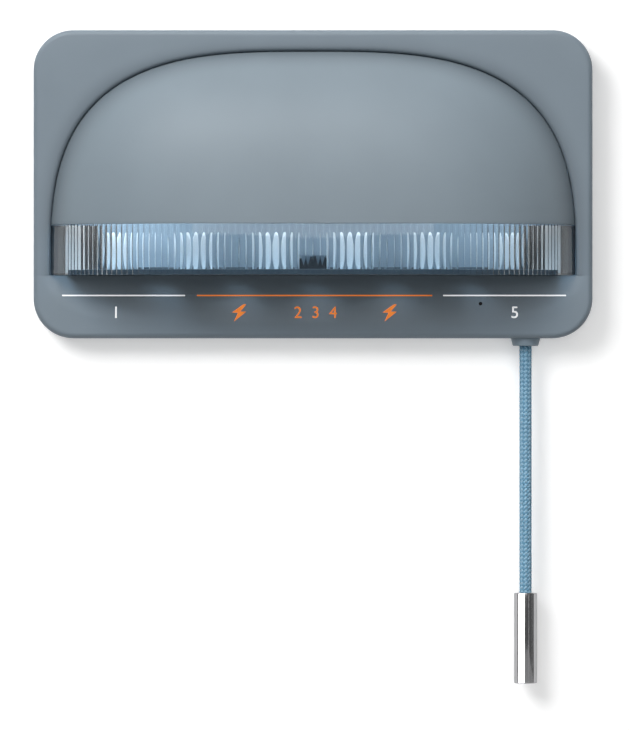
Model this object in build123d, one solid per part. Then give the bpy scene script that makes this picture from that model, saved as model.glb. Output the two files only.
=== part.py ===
from build123d import *

import math
import os

# Wall-hung steriliser for five toothbrushes, in millimetres.
# X points right as a user sees it, +Y into the wall, +Z up. The origin is on
# the wall face, level with the middle of the body and centred on its width.

# Body
body_width = 214.0
body_height = 118.0
body_corner_radius = 15.3
body_wall = 2.0
back_wall = 2.5
wall_gap = 1.5
rear_housing_depth = 7.75
front_frame_depth = 7.75
edge_round = 1.6
assembly_gap = 0.15
gasket_width = 1.0
gasket_height = 1.2

# Arch, the outline that the cover and the window fill in the front frame
arch_side_margin = 6.7
arch_top_margin = 8.4
lower_front_height = 24.0
arch_power = 3.1
arch_gap = 0.3
collar_wall = 2.0
collar_depth = 2.0

# Domed cover
dome_depth = 31.0
dome_power = 2.6
dome_fullness = 0.6
cover_wall = 2.2

# Ribbed window under the cover
window_height = 19.5
window_wall = 2.2
window_foot = 3.0
rib_pitch = 2.57
rib_height = 0.45
rib_end_margin = 5.8
rib_fade_power = 3.0

# Scoop in the front face below the window
scoop_depth = 2.0
scoop_height = 18.0
scoop_side_margin = 4.0
scoop_round = 8.0

# Plate that stays on the wall
pad_side_margin = 18.0
pad_end_margin = 4.0
pad_thickness = 1.0
plate_width = 120.0
plate_height = 48.0
plate_thickness = 1.6
plate_corner_radius = 5.0
plate_hole_diameter = 4.5
plate_hole_inset = 8.0
pocket_gap = 0.5
hook_spacing = 60.0
hook_width = 14.0
hook_neck = 3.0
hook_lip = 6.0
hook_thickness = 1.6
hook_below_plate_top = 12.0
hook_gap = 0.3
hook_seat_gap = 0.05
lift_travel = 7.0

# Chamber
liner_thickness = 1.2
liner_overlap = 4.0
rack_floor = 2.0
rack_flange = 1.5
rack_flange_height = 12.0
slot_count = 5
slot_pitch = 29.5
slot_width = 12.4
slot_length = 17.0
slot_back_gap = 3.0
slot_lip = 1.1
slot_lip_flange = 0.8
pillar_width = 10.0
pillar_height = 14.8
pillar_sink = 0.5
pillar_round = 1.4
pillar_front_gap = 14.0

# Ultraviolet lamps
lamp_board_width = 96.0
lamp_board_height = 9.0
lamp_board_thickness = 1.0
lamp_board_above_base = 37.0
lamp_count = 6
lamp_size = 3.5
lamp_depth = 1.3

# Presence sensor behind the middle of the window
sensor_window_width = 10.7
sensor_window_height = 7.0
sensor_window_thickness = 0.8
sensor_body_width = 8.4
sensor_body_height = 5.2
sensor_body_depth = 2.6
sensor_front_gap = 0.5

# Fasteners
screw_diameter = 2.6
screw_head_diameter = 4.8
screw_head_height = 1.5
boss_diameter = 6.4
housing_screw_side_inset = 10.0
housing_screw_end_inset = 11.0
housing_screw_top_x = 60.0
housing_screw_top_inset = 6.6
housing_screw_mid_x = -4.0
housing_screw_mid_inset = 10.0
housing_screw_length = 11.0
chamber_screw_length = 9.0
cover_screw_side_inset = 18.3
cover_screw_low_rise = 33.0
cover_screw_high_x = 30.0
cover_screw_top_inset = 11.6
rack_screw_rise = 8.0
rack_screw_length = 4.5

# Electronics
board_width = 58.0
board_height = 32.0
board_thickness = 1.6
board_floor_gap = 3.0
board_ramp_gap = 1.2
board_standoff = 2.0
board_standoff_diameter = 5.0
board_screw_inset = 3.4
board_screw_diameter = 2.0
board_screw_head = 3.6
board_screw_length = 3.2
battery_width = 58.0
battery_height = 38.0
battery_thickness = 4.8
battery_centre_x = -45.0
battery_floor_gap = 4.0
battery_tape_thickness = 0.4
battery_rib = 1.2
battery_rib_gap = 0.5
lead_diameter = 1.2
lead_spacing = 2.0
lead_bend = 4.0
lamp_lead_hole = 4.4
lamp_connector_dx = -6.0
lamp_connector_dz = 13.0
battery_connector_dx = -22.0
battery_connector_dz = -6.0
connector_width = 6.0
connector_length = 4.5
connector_height = 3.0

# Charging inlet and its flap on the underside
port_from_board_centre = 13.0
port_width = 8.94
port_thickness = 3.2
port_depth = 7.3
port_gap = 0.25
port_shell = 0.35
flap_width = 15.0
flap_reach = 7.6
flap_thickness = 1.0
flap_gap = 0.2
flap_plug_width = 8.2
flap_plug_thickness = 2.4
flap_plug_height = 0.8

# Indicator beside the right-hand slot
indicator_from_cord = 17.4
indicator_below_window = 10.8
indicator_diameter = 1.5
indicator_flange_diameter = 3.2
indicator_flange = 0.8
indicator_gap = 0.05

# Pull cord, its gland and its weight
cord_side_inset = 25.5
cord_diameter = 5.0
cord_visible_length = 94.6
gland_top_diameter = 11.5
gland_mouth_diameter = 10.0
gland_drop = 2.9
gland_neck_diameter = 8.6
gland_flange_diameter = 10.6
gland_flange = 1.5
gland_bore = 6.3
pivot_below_gland = 0.5
joint_ball_gap = 0.05
weight_diameter = 8.8
weight_length = 34.8
weight_bore_depth = 8.0
weight_edge = 0.4
knot_diameter = 6.0

# Pull switch inside the body
pull_travel = 5.0
slider_diameter = 8.0
slider_flange = 2.5
slider_cord_gap = 0.1
spring_length = 9.0
spring_wire = 0.6
spring_mean_diameter = 6.8
spring_turns = 5.5
ramp_slope = 0.1
ramp_from_cord = 8.3
ramp_thickness = 3.0
ramp_depth = 2.5
ramp_contact_gap = 0.05
ramp_room = 2.2
plunger_above_slider = 4.0
plunger_diameter = 1.6
plunger_length = 4.0
plunger_gap = 0.05
switch_width = 8.5
switch_height = 6.0
switch_thickness = 4.0
switch_gap = 1.3

# Places that follow from the sizes above
back_y = -wall_gap
split_y = back_y - rear_housing_depth
front_y = split_y - front_frame_depth
housing_floor_y = back_y - back_wall
frame_inner_y = front_y + body_wall
collar_back_y = frame_inner_y + collar_depth
liner_back_y = collar_back_y + liner_thickness
underside_z = -body_height / 2
underside_inner_z = underside_z + body_wall
arch_half_width = body_width / 2 - arch_side_margin
arch_height = body_height - lower_front_height - arch_top_margin
arch_base_z = underside_z + lower_front_height
arch_top_z = arch_base_z + arch_height
rib_span = arch_half_width - rib_end_margin
scoop_half_width = body_width / 2 - scoop_side_margin
window_top_z = arch_base_z + window_height
plate_back_y = -pad_thickness
plate_front_y = plate_back_y - plate_thickness
hook_base_z = plate_height / 2 - hook_below_plate_top
hook_top_z = hook_base_z + hook_neck
cord_x = body_width / 2 - cord_side_inset
gland_mouth_z = underside_z - gland_drop
pivot_z = gland_mouth_z - pivot_below_gland
cord_end_z = gland_mouth_z - cord_visible_length
spring_base_z = underside_inner_z + gland_flange
slider_base_z = spring_base_z + spring_length
slider_top_z = slider_base_z + slider_flange
ramp_x = cord_x - ramp_from_cord
plunger_z = slider_top_z + plunger_above_slider
ramp_top_z = plunger_z + pull_travel + plunger_diameter
board_back_y = housing_floor_y - board_standoff
board_front_y = board_back_y - board_thickness
board_centre_x = ramp_x - board_ramp_gap - board_width / 2
board_centre_z = underside_inner_z + board_floor_gap + board_height / 2
battery_centre_z = underside_inner_z + battery_floor_gap + battery_height / 2
port_x = board_centre_x - port_from_board_centre
port_y = board_front_y - port_thickness / 2
indicator_x = cord_x - indicator_from_cord
indicator_z = arch_base_z - indicator_below_window
lamp_board_z = arch_base_z + lamp_board_above_base
slot_back_y = front_y - slot_back_gap
slot_front_y = slot_back_y - slot_length
slot_xs = [(i - (slot_count - 1) / 2) * slot_pitch for i in range(slot_count)]
pillar_xs = [(i - slot_count / 2) * slot_pitch for i in range(slot_count + 1)]
far = 4 * (front_frame_depth + dome_depth)

housing_screw_x = body_width / 2 - housing_screw_side_inset
housing_screw_z = body_height / 2 - housing_screw_end_inset
housing_screw_top_z = body_height / 2 - housing_screw_top_inset
housing_screw_spots = [
    (sx * housing_screw_x, sz * housing_screw_z) for sx in (-1, 1) for sz in (-1, 1)
]
housing_screw_spots += [(sx * housing_screw_top_x, housing_screw_top_z) for sx in (-1, 1)]
housing_screw_spots += [(housing_screw_mid_x, underside_z + housing_screw_mid_inset)]
cover_screw_low_x = arch_half_width - cover_screw_side_inset
cover_screw_low_z = arch_base_z + cover_screw_low_rise
cover_screw_high_z = arch_top_z - cover_screw_top_inset
cover_screw_spots = [(sx * cover_screw_low_x, cover_screw_low_z) for sx in (-1, 1)]
cover_screw_spots += [(sx * cover_screw_high_x, cover_screw_high_z) for sx in (-1, 1)]
rack_screw_z = arch_base_z + rack_screw_rise
middle_pillar = slot_count // 2
rack_screw_xs = (pillar_xs[0], pillar_xs[middle_pillar], pillar_xs[-middle_pillar - 1], pillar_xs[-1])
rack_screw_spots = [(x, rack_screw_z) for x in rack_screw_xs]


# Small helpers


def block(x_range, y_range, z_range):
    """A box between two values on each axis."""
    sizes = [abs(r[1] - r[0]) for r in (x_range, y_range, z_range)]
    centre = [sum(r) / 2 for r in (x_range, y_range, z_range)]
    return Pos(*centre) * Box(*sizes)


def rod_y(x, z, diameter, y_back, y_front):
    """A round rod along Y from its back end to its front end."""
    rod = Cylinder(diameter / 2, y_back - y_front)
    return Pos(x, (y_back + y_front) / 2, z) * Rot(90, 0, 0) * rod


def rod_z(x, y, diameter, z_low, z_high):
    """A round rod along Z."""
    return Pos(x, y, (z_low + z_high) / 2) * Cylinder(diameter / 2, z_high - z_low)


def slab_y(face, y_back, y_front):
    """A flat outline drawn in X and Z, made solid from y_back forward to y_front."""
    return extrude(Pos(0, y_back, 0) * face, amount=y_back - y_front, dir=(0, -1, 0))


def rounded_plate(width, height, radius, y_back, y_front, centre_z=0.0):
    """A plate facing the wall, with rounded corners."""
    outline = Plane.XZ * RectangleRounded(width, height, radius)
    return slab_y(Pos(0, 0, centre_z) * outline, y_back, y_front)


def body_outline(inset, y_back, y_front):
    """The body's rounded outline, moved in by inset."""
    return rounded_plate(
        body_width - 2 * inset,
        body_height - 2 * inset,
        body_corner_radius - inset,
        y_back,
        y_front,
    )


def arch_face(offset, base_z):
    """The arch as a flat face in X and Z: a superellipse cut off at base_z."""
    a = arch_half_width + offset
    b = arch_height + offset
    steps = 40
    points = []
    for i in range(steps + 1):
        angle = math.pi * i / steps
        c = math.cos(angle)
        s = math.sin(angle)
        x = math.copysign(abs(c) ** (2 / arch_power), c) * a
        z = arch_base_z + abs(s) ** (2 / arch_power) * b
        points.append((x, 0, z))
    points[0] = (a, 0, arch_base_z)
    points[-1] = (-a, 0, arch_base_z)
    arch = Spline(*points, tangents=[(0, 0, 1), (0, 0, -1)])
    foot = [points[-1], points[0]]
    if base_z < arch_base_z:
        foot = [points[-1], (-a, 0, base_z), (a, 0, base_z), points[0]]
    return make_face(Wire([arch, *Polyline(*foot).edges()]))


def dome_rise(x, z):
    """How far the dome stands out of the front frame at a place on it."""
    u = abs(x) / arch_half_width
    v = abs(z - arch_base_z) / arch_height
    s = (u**arch_power + v**arch_power) ** (1 / arch_power)
    t = s**dome_power
    return dome_depth * (1 - t) * (1 + dome_fullness * t)


def dome_point(x, z, inset=0.0):
    """A point on the dome's outer surface, moved inward along the normal by inset."""
    step = 0.01
    slope_x = (dome_rise(x + step, z) - dome_rise(x - step, z)) / (2 * step)
    slope_z = (dome_rise(x, z + step) - dome_rise(x, z - step)) / (2 * step)
    length = math.sqrt(slope_x**2 + 1 + slope_z**2)
    return (
        x + inset * slope_x / length,
        front_y - dome_rise(x, z) + inset / length,
        z + inset * slope_z / length,
    )


def under_dome(inset):
    """Everything behind the dome's surface, as a solid much deeper than the body."""
    reach = 4.0
    columns = 48
    rows = 30
    low_z = arch_base_z - reach
    high_z = arch_base_z + arch_height + reach
    wide = arch_half_width + reach
    grid = []
    for i in range(columns + 1):
        x = -wide + 2 * wide * i / columns
        line = []
        for j in range(rows + 1):
            z = low_z + (high_z - low_z) * j / rows
            line.append(dome_point(x, z, inset))
        grid.append(line)
    surface = Face.make_surface_from_array_of_points(grid, tol=0.005)
    return extrude(surface, amount=far, dir=(0, 1, 0))


def plan_point(x, inset):
    """A point on the window's plan curve, moved inward by inset, as X and Y."""
    point = dome_point(x, arch_base_z, inset)
    return (point[0], point[1])


def hook_boxes(x):
    """One hook of the wall plate: a neck and an upturned lip."""
    sides = (x - hook_width / 2, x + hook_width / 2)
    lip_back = housing_floor_y - hook_gap
    lip_front = lip_back - hook_thickness
    neck = block(sides, (plate_back_y, lip_front), (hook_base_z, hook_top_z))
    lip = block(sides, (lip_back, lip_front), (hook_base_z, hook_top_z + hook_lip))
    return neck + lip


# Wall side


def adhesive_pad():
    width = plate_width - 2 * pad_side_margin
    height = plate_height - 2 * pad_end_margin
    return rounded_plate(width, height, plate_corner_radius / 2, 0, plate_back_y)


def wall_plate():
    plate = rounded_plate(
        plate_width, plate_height, plate_corner_radius, plate_back_y, plate_front_y
    )
    for side in (-1, 1):
        plate += hook_boxes(side * hook_spacing / 2)
        hole_x = side * (plate_width / 2 - plate_hole_inset)
        plate -= rod_y(hole_x, 0, plate_hole_diameter, 1, plate_front_y - 1)
    return plate


# Cutters shared by the two halves of the body


def port_cutters():
    """The charging slot through the underside and the flap's recess."""
    half_w = port_width / 2 + port_gap
    half_t = port_thickness / 2 + port_gap
    slot = block(
        (port_x - half_w, port_x + half_w),
        (port_y + half_t, port_y - half_t),
        (underside_z - 1, underside_inner_z + 1),
    )
    hinge_y = port_y + flap_reach / 2
    recess = block(
        (port_x - flap_width / 2 - flap_gap, port_x + flap_width / 2 + flap_gap),
        (hinge_y + flap_gap, hinge_y - flap_reach - flap_gap),
        (underside_z - 1, underside_z + flap_thickness + flap_gap / 2),
    )
    return slot + recess


def gland_cutters():
    """The gland's neck hole, and room for its flange above the underside."""
    neck = rod_z(
        cord_x, split_y, gland_neck_diameter + assembly_gap, underside_z - 1, underside_inner_z + 1
    )
    flange = rod_z(
        cord_x,
        split_y,
        gland_flange_diameter + 2 * assembly_gap,
        underside_inner_z,
        spring_base_z + assembly_gap,
    )
    return neck + flange


# Body


def rear_housing():
    shell = body_outline(0, back_y, split_y)
    back_edges = shell.edges().group_by(Axis.Y)[-1]
    shell = fillet(back_edges, edge_round)
    shell -= body_outline(body_wall, housing_floor_y, split_y - 1)
    for x, z in housing_screw_spots:
        shell += rod_y(x, z, boss_diameter, housing_floor_y + back_wall / 2, split_y + assembly_gap)
    for x, z in board_screw_spots():
        shell += rod_y(x, z, board_standoff_diameter, housing_floor_y + back_wall / 2, board_back_y)
    shell += battery_ribs()
    for x, z in housing_screw_spots:
        head_seat = back_y - screw_head_height - assembly_gap
        shell -= rod_y(x, z, screw_head_diameter + 2 * assembly_gap, 1, head_seat)
        shell -= rod_y(x, z, screw_diameter + 2 * assembly_gap, 1, split_y - 1)
    for x, z in board_screw_spots():
        bore_end = housing_floor_y + back_wall / 3
        shell -= rod_y(x, z, board_screw_diameter, bore_end, split_y)
    pocket_side = plate_width / 2 + pocket_gap
    shell -= block(
        (-pocket_side, pocket_side),
        (1, plate_front_y - pocket_gap / 2),
        (-plate_height / 2 - lift_travel - pocket_gap, plate_height / 2 + pocket_gap),
    )
    for side in (-1, 1):
        x = side * hook_spacing / 2
        shell -= block(
            (x - hook_width / 2 - pocket_gap, x + hook_width / 2 + pocket_gap),
            (1, housing_floor_y - 1),
            (hook_base_z - lift_travel - pocket_gap, hook_top_z + hook_seat_gap),
        )
    shell -= port_cutters()
    shell -= gland_cutters()
    shell -= gasket_ring()
    return shell


def scoop_cutter():
    """The hollow in the front face, deepest under the window and fading downwards."""
    top_z = arch_base_z
    low_z = arch_base_z - scoop_height
    profile = make_face(
        Polyline(
            (0, front_y - 1, top_z),
            (0, front_y + scoop_depth, top_z),
            (0, front_y, low_z),
            (0, front_y - 1, low_z),
            close=True,
        )
    )
    wedge = extrude(Pos(-scoop_half_width, 0, 0) * profile, amount=2 * scoop_half_width, dir=(1, 0, 0))
    outline = Plane.XZ * RectangleRounded(
        2 * scoop_half_width, 2 * scoop_height, scoop_round
    )
    return wedge & slab_y(Pos(0, 0, top_z) * outline, front_y + 2 * scoop_depth, front_y - 2)


def front_frame():
    shell = body_outline(0, split_y, front_y)
    front_edges = shell.edges().group_by(Axis.Y)[0]
    shell = fillet(front_edges, edge_round)
    hollow = body_outline(body_wall, split_y + 1, frame_inner_y)
    collar_outer = arch_gap + collar_wall
    collar = slab_y(arch_face(collar_outer, arch_base_z), collar_back_y, front_y + body_wall / 2)
    inner_half = body_width / 2 - body_wall
    lower_back = block(
        (-inner_half, inner_half),
        (collar_back_y, frame_inner_y),
        (underside_inner_z, arch_base_z + collar_wall),
    )
    lower_back &= body_outline(body_wall, split_y, front_y)
    shell -= hollow - collar - lower_back
    for x, z in housing_screw_spots:
        shell += rod_y(x, z, boss_diameter, split_y, front_y + body_wall / 2)
    shell -= slab_y(arch_face(arch_gap, arch_base_z), split_y + 1, front_y - 1)
    shell -= scoop_cutter()
    for x, z in housing_screw_spots:
        tip = back_y - screw_head_height - housing_screw_length - 2 * assembly_gap
        shell -= rod_y(x, z, screw_diameter, split_y + 1, tip)
    shell -= switch_room()
    shell -= port_cutters()
    shell -= gland_cutters()
    shell -= gasket_ring()
    shell -= rod_y(
        indicator_x, indicator_z, indicator_diameter + 2 * indicator_gap, split_y, front_y - 1
    )
    return shell


def switch_room():
    """Space behind the lower front for the sliding carrier and its ramp."""
    side = slider_diameter / 2 + assembly_gap * 2
    return block(
        (ramp_x - ramp_room, cord_x + side),
        (split_y + 1, split_y - side),
        (underside_inner_z, slider_top_z + knot_diameter),
    )


def gasket_ring():
    """The seal's path round the joint, which is also its groove, half in each shell."""
    half = gasket_height / 2
    side = (body_wall - gasket_width) / 2
    ring = body_outline(side, split_y + half, split_y - half)
    return ring - body_outline(side + gasket_width, split_y + 2 * half, split_y - 2 * half)


def housing_gasket():
    """A soft strip between the halves, stopping at the gland and the charging slot."""
    return gasket_ring() - gland_cutters() - port_cutters()


# Screws


def screw(x, z, head_y, length, diameter, head_diameter, head_height):
    """A pan-head screw whose head's underside is at head_y, pointing at the user."""
    head = rod_y(x, z, head_diameter, head_y + head_height, head_y)
    shank = rod_y(x, z, diameter, head_y, head_y - length)
    drive = rod_y(x, z, diameter * 0.6, head_y + head_height, head_y + head_height / 2)
    return head + shank - drive


def housing_screws():
    head_y = back_y - screw_head_height - assembly_gap
    return Compound(
        children=[
            screw(
                x, z, head_y, housing_screw_length, screw_diameter, screw_head_diameter, screw_head_height
            )
            for x, z in housing_screw_spots
        ]
    )


def chamber_screws():
    """Screws through the liner into the cover's bosses and the rack's pillars."""
    made = []
    for spots, length in (
        (cover_screw_spots, chamber_screw_length),
        (rack_screw_spots, rack_screw_length),
    ):
        for x, z in spots:
            made.append(
                screw(
                    x, z, liner_back_y, length, screw_diameter, screw_head_diameter, screw_head_height
                )
            )
    return Compound(children=made)


def board_screw_spots():
    dx = board_width / 2 - board_screw_inset
    dz = board_height / 2 - board_screw_inset
    return [
        (board_centre_x + sx * dx, board_centre_z + sz * dz) for sx in (-1, 1) for sz in (-1, 1)
    ]


def board_screws():
    return Compound(
        children=[
            screw(
                x,
                z,
                board_front_y,
                board_screw_length,
                board_screw_diameter,
                board_screw_head,
                screw_head_height,
            ).mirror(Plane.XZ.offset(-board_front_y))
            for x, z in board_screw_spots()
        ]
    )


# Chamber


def cover_room(offset):
    """The arch's prism from the collar's back to in front of the dome."""
    return slab_y(arch_face(offset, arch_base_z), collar_back_y, front_y - 2 * dome_depth)


def dome_cover():
    outer = under_dome(0) & cover_room(0)
    inner = under_dome(cover_wall) & cover_room(-cover_wall)
    bosses = [
        rod_y(x, z, boss_diameter, collar_back_y, front_y - 2 * dome_depth)
        for x, z in cover_screw_spots
    ]
    hollow = inner
    for boss in bosses:
        hollow -= boss
    cover = outer - hollow
    for x, z in cover_screw_spots:
        cover -= rod_y(
            x, z, screw_diameter, collar_back_y + 1, collar_back_y - chamber_screw_length
        )
    side = arch_half_width + body_wall
    keep = block(
        (-side, side),
        (0, front_y - 2 * dome_depth),
        (window_top_z + assembly_gap / 2, arch_base_z + 2 * arch_height),
    )
    return cover & keep


def rib_edges():
    """Where the ribs start and end along X, closer together towards the sides."""
    edges = [0.0]
    while edges[-1] < rib_span:
        share = min(edges[-1] / arch_half_width, 0.98)
        edges.append(edges[-1] + rib_pitch * math.sqrt(1 - share**rib_fade_power))
    return [-x for x in reversed(edges[1:])] + edges


def ribbed_window():
    edges = rib_edges()
    ribs = []
    for left, right in zip(edges[:-1], edges[1:]):
        start = plan_point(left, window_wall)
        end = plan_point(right, window_wall)
        depth = rib_height * (right - left) / rib_pitch
        crest = plan_point((left + right) / 2, window_wall + depth)
        ribs.append(ThreePointArc(start, crest, end))
    first = plan_point(edges[0], window_wall)
    last = plan_point(edges[-1], window_wall)
    foot_x = arch_half_width - window_foot
    wide = arch_half_width + body_wall
    deep = front_y - 2 * dome_depth
    frame = Polyline(
        last,
        (foot_x, frame_inner_y),
        (foot_x, collar_back_y),
        (wide, collar_back_y),
        (wide, deep),
        (-wide, deep),
        (-wide, collar_back_y),
        (-foot_x, collar_back_y),
        (-foot_x, frame_inner_y),
        first,
    )
    profile = make_face(Wire([*ribs, *frame.edges()]))
    low_z = arch_base_z + assembly_gap / 2
    high_z = window_top_z - assembly_gap / 2
    strip = extrude(Pos(0, 0, low_z) * profile, amount=high_z - low_z, dir=(0, 0, 1))
    return strip & under_dome(0) & cover_room(0)


def liner_face():
    return arch_face(liner_overlap, arch_base_z - liner_overlap)


def chamber_liner():
    plate = slab_y(liner_face(), liner_back_y, collar_back_y)
    for x, z in cover_screw_spots + rack_screw_spots:
        plate -= rod_y(x, z, screw_diameter + 2 * assembly_gap, 0, front_y)
    lead_x = board_centre_x + lamp_connector_dx
    plate -= rod_y(lead_x, lamp_board_z, lamp_lead_hole, 0, front_y)
    notch_side = cord_x - ramp_x + ramp_room
    plate -= block(
        (cord_x - notch_side, cord_x + notch_side),
        (0, front_y),
        (2 * arch_base_z, arch_base_z - assembly_gap),
    )
    return plate


def slot_block(x, grow, z_low, z_high):
    """One brush slot, grown all round by grow."""
    radius = slot_width / 3
    outline = RectangleRounded(slot_width + 2 * grow, slot_length + 2 * grow, radius + grow)
    middle = (slot_back_y + slot_front_y) / 2
    return extrude(Pos(x, middle, z_low) * outline, amount=z_high - z_low)


def pillar(x):
    """One of the rounded posts between the brushes, an ellipse seen from the front."""
    edge = abs(x) + pillar_width / 2
    room = window_wall + rib_height + pillar_front_gap
    front = plan_point(edge, room)[1]
    floor_z = arch_base_z + assembly_gap + rack_floor
    middle_z = floor_z - pillar_sink + pillar_height / 2
    face = Plane(origin=(x, front, middle_z), x_dir=(1, 0, 0), z_dir=(0, -1, 0))
    outline = face * Ellipse(pillar_width / 2, pillar_height / 2)
    post = extrude(outline, amount=collar_back_y - front, dir=(0, 1, 0))
    return fillet(post.edges().group_by(Axis.Y)[0], pillar_round)


def brush_rack():
    room = window_wall + rib_height + 2 * assembly_gap
    half = rib_span
    steps = 16
    points = [plan_point(-half + 2 * half * i / steps, room) for i in range(steps + 1)]
    front = Spline(*points)
    back_left = (points[0][0], collar_back_y)
    back_right = (points[-1][0], collar_back_y)
    outline = make_face(Wire([front, *Polyline(points[-1], back_right, back_left, points[0]).edges()]))
    low_z = arch_base_z + assembly_gap
    rack = extrude(Pos(0, 0, low_z) * outline, amount=rack_floor, dir=(0, 0, 1))
    flange_half = pillar_xs[-1] + pillar_width / 2
    rack += block(
        (-flange_half, flange_half),
        (collar_back_y, collar_back_y - rack_flange),
        (low_z, low_z + rack_flange_height),
    )
    for x in pillar_xs:
        rack += pillar(x)
    for x in slot_xs:
        rack -= slot_block(x, 0, low_z - 1, low_z + rack_floor + 1)
    for x, z in rack_screw_spots:
        tip = collar_back_y - rack_screw_length
        rack -= rod_y(x, z, screw_diameter, collar_back_y + 1, tip)
    return rack


def slot_lips():
    """A soft lip round each brush slot, with a flange on the rack's floor."""
    low_z = arch_base_z + assembly_gap
    floor_z = low_z + rack_floor
    made = []
    for x in slot_xs:
        sleeve = slot_block(x, 0, low_z, floor_z)
        flange = slot_block(x, 0, floor_z, floor_z + slot_lip_flange)
        hole = slot_block(x, -slot_lip, low_z - 1, floor_z + 2 * slot_lip_flange)
        made.append(sleeve + flange - hole)
    return Compound(children=made)


def uv_lamp_board():
    half_w = lamp_board_width / 2
    half_h = lamp_board_height / 2
    return block(
        (-half_w, half_w),
        (collar_back_y, collar_back_y - lamp_board_thickness),
        (lamp_board_z - half_h, lamp_board_z + half_h),
    )


def uv_lamps():
    """Square lamps in a row on the lamp board."""
    back = collar_back_y - lamp_board_thickness
    step = lamp_board_width / lamp_count
    made = []
    for i in range(lamp_count):
        x = (i - (lamp_count - 1) / 2) * step
        base = block(
            (x - lamp_size / 2, x + lamp_size / 2),
            (back, back - lamp_depth / 2),
            (lamp_board_z - lamp_size / 2, lamp_board_z + lamp_size / 2),
        )
        glass = rod_y(x, lamp_board_z, lamp_size * 0.7, back - lamp_depth / 2, back - lamp_depth)
        made.append(base + glass)
    return Compound(children=made)


def sensor_front():
    """The plane just behind the window's ribs where the sensor's window sits."""
    return plan_point(sensor_window_width / 2, window_wall + rib_height + sensor_front_gap)[1]


def sensor_window():
    low_z = arch_base_z + assembly_gap + rack_floor
    half = sensor_window_width / 2
    front = sensor_front()
    return block((-half, half), (front + sensor_window_thickness, front), (low_z, low_z + sensor_window_height))


def presence_sensor():
    low_z = arch_base_z + assembly_gap + rack_floor
    half = sensor_body_width / 2
    back = sensor_front() + sensor_window_thickness
    return block((-half, half), (back + sensor_body_depth, back), (low_z, low_z + sensor_body_height))


# Electronics


def main_circuit_board():
    half_w = board_width / 2
    half_h = board_height / 2
    board = block(
        (board_centre_x - half_w, board_centre_x + half_w),
        (board_back_y, board_front_y),
        (board_centre_z - half_h, board_centre_z + half_h),
    )
    for x, z in board_screw_spots():
        board -= rod_y(x, z, board_screw_diameter + 2 * assembly_gap, 0, split_y)
    return board


def on_board(dx, dz, width, height, depth):
    """A box-shaped component standing on the board's front."""
    x = board_centre_x + dx
    z = board_centre_z + dz
    return block(
        (x - width / 2, x + width / 2),
        (board_front_y, board_front_y - depth),
        (z - height / 2, z + height / 2),
    )


def board_components():
    """Controller, lamp driver, inductor, connectors and the indicator's lamp."""
    pieces = [
        on_board(-4.0, 2.0, 9.0, 9.0, 1.2),
        on_board(-17.0, 5.0, 6.0, 5.0, 1.2),
        on_board(9.0, 8.0, 6.0, 6.0, 2.6),
        on_board(
            battery_connector_dx,
            battery_connector_dz,
            connector_width,
            connector_length,
            connector_height,
        ),
        on_board(
            lamp_connector_dx, lamp_connector_dz, connector_width, connector_length, connector_height
        ),
        on_board(
            indicator_x - board_centre_x,
            indicator_z - board_centre_z,
            indicator_flange_diameter,
            indicator_flange_diameter,
            indicator_flange,
        ),
    ]
    return Compound(children=pieces)


def battery():
    half_w = battery_width / 2
    half_h = battery_height / 2
    back = housing_floor_y - battery_tape_thickness
    cell = block(
        (battery_centre_x - half_w, battery_centre_x + half_w),
        (back, back - battery_thickness),
        (battery_centre_z - half_h, battery_centre_z + half_h),
    )
    return fillet(cell.edges().filter_by(Axis.Z), battery_thickness / 3)


def battery_tape():
    half_w = battery_width / 3
    half_h = battery_height / 3
    return block(
        (battery_centre_x - half_w, battery_centre_x + half_w),
        (housing_floor_y, housing_floor_y - battery_tape_thickness),
        (battery_centre_z - half_h, battery_centre_z + half_h),
    )


def battery_ribs():
    """Two upright ribs of the housing beside the cell."""
    inner = battery_width / 2 + battery_rib_gap
    outer = inner + battery_rib
    half_h = battery_height / 3
    deep = housing_floor_y - battery_thickness * 0.7
    ribs = []
    for side in (-1, 1):
        low, high = sorted((side * inner, side * outer))
        ribs.append(
            block(
                (battery_centre_x + low, battery_centre_x + high),
                (housing_floor_y + back_wall / 2, deep),
                (battery_centre_z - half_h, battery_centre_z + half_h),
            )
        )
    return ribs


def lead(points, bends):
    """A round wire along straight runs joined by arcs."""
    path = FilletPolyline(*points, radius=bends)
    section = Plane(origin=points[0], z_dir=path % 0) * Circle(lead_diameter / 2)
    return sweep(section, path=path)


def battery_leads():
    """Two wires from the cell to the connector on the board."""
    y = board_front_y - connector_height / 2
    start_x = battery_centre_x + battery_width / 2
    end_x = board_centre_x + battery_connector_dx - connector_width / 2
    end_z = board_centre_z + battery_connector_dz
    start_z = battery_centre_z - battery_height / 4
    made = []
    for shift in (-lead_spacing / 2, lead_spacing / 2):
        points = [
            (start_x, y, start_z + shift),
            (start_x + 2 * lead_bend, y, start_z + shift),
            (end_x - 2 * lead_bend, y, end_z + shift),
            (end_x, y, end_z + shift),
        ]
        made.append(lead(points, lead_bend))
    return Compound(children=made)


def lamp_leads():
    """Two wires from the board up behind the liner and through it to the lamp board."""
    y = board_front_y - connector_height / 2
    middle_x = board_centre_x + lamp_connector_dx
    start_z = board_centre_z + lamp_connector_dz + connector_length / 2
    made = []
    for shift in (-lead_spacing / 2, lead_spacing / 2):
        x = middle_x + shift
        points = [(x, y, start_z), (x, y, lamp_board_z), (x, collar_back_y, lamp_board_z)]
        made.append(lead(points, lead_bend / 2))
    return Compound(children=made)


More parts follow.
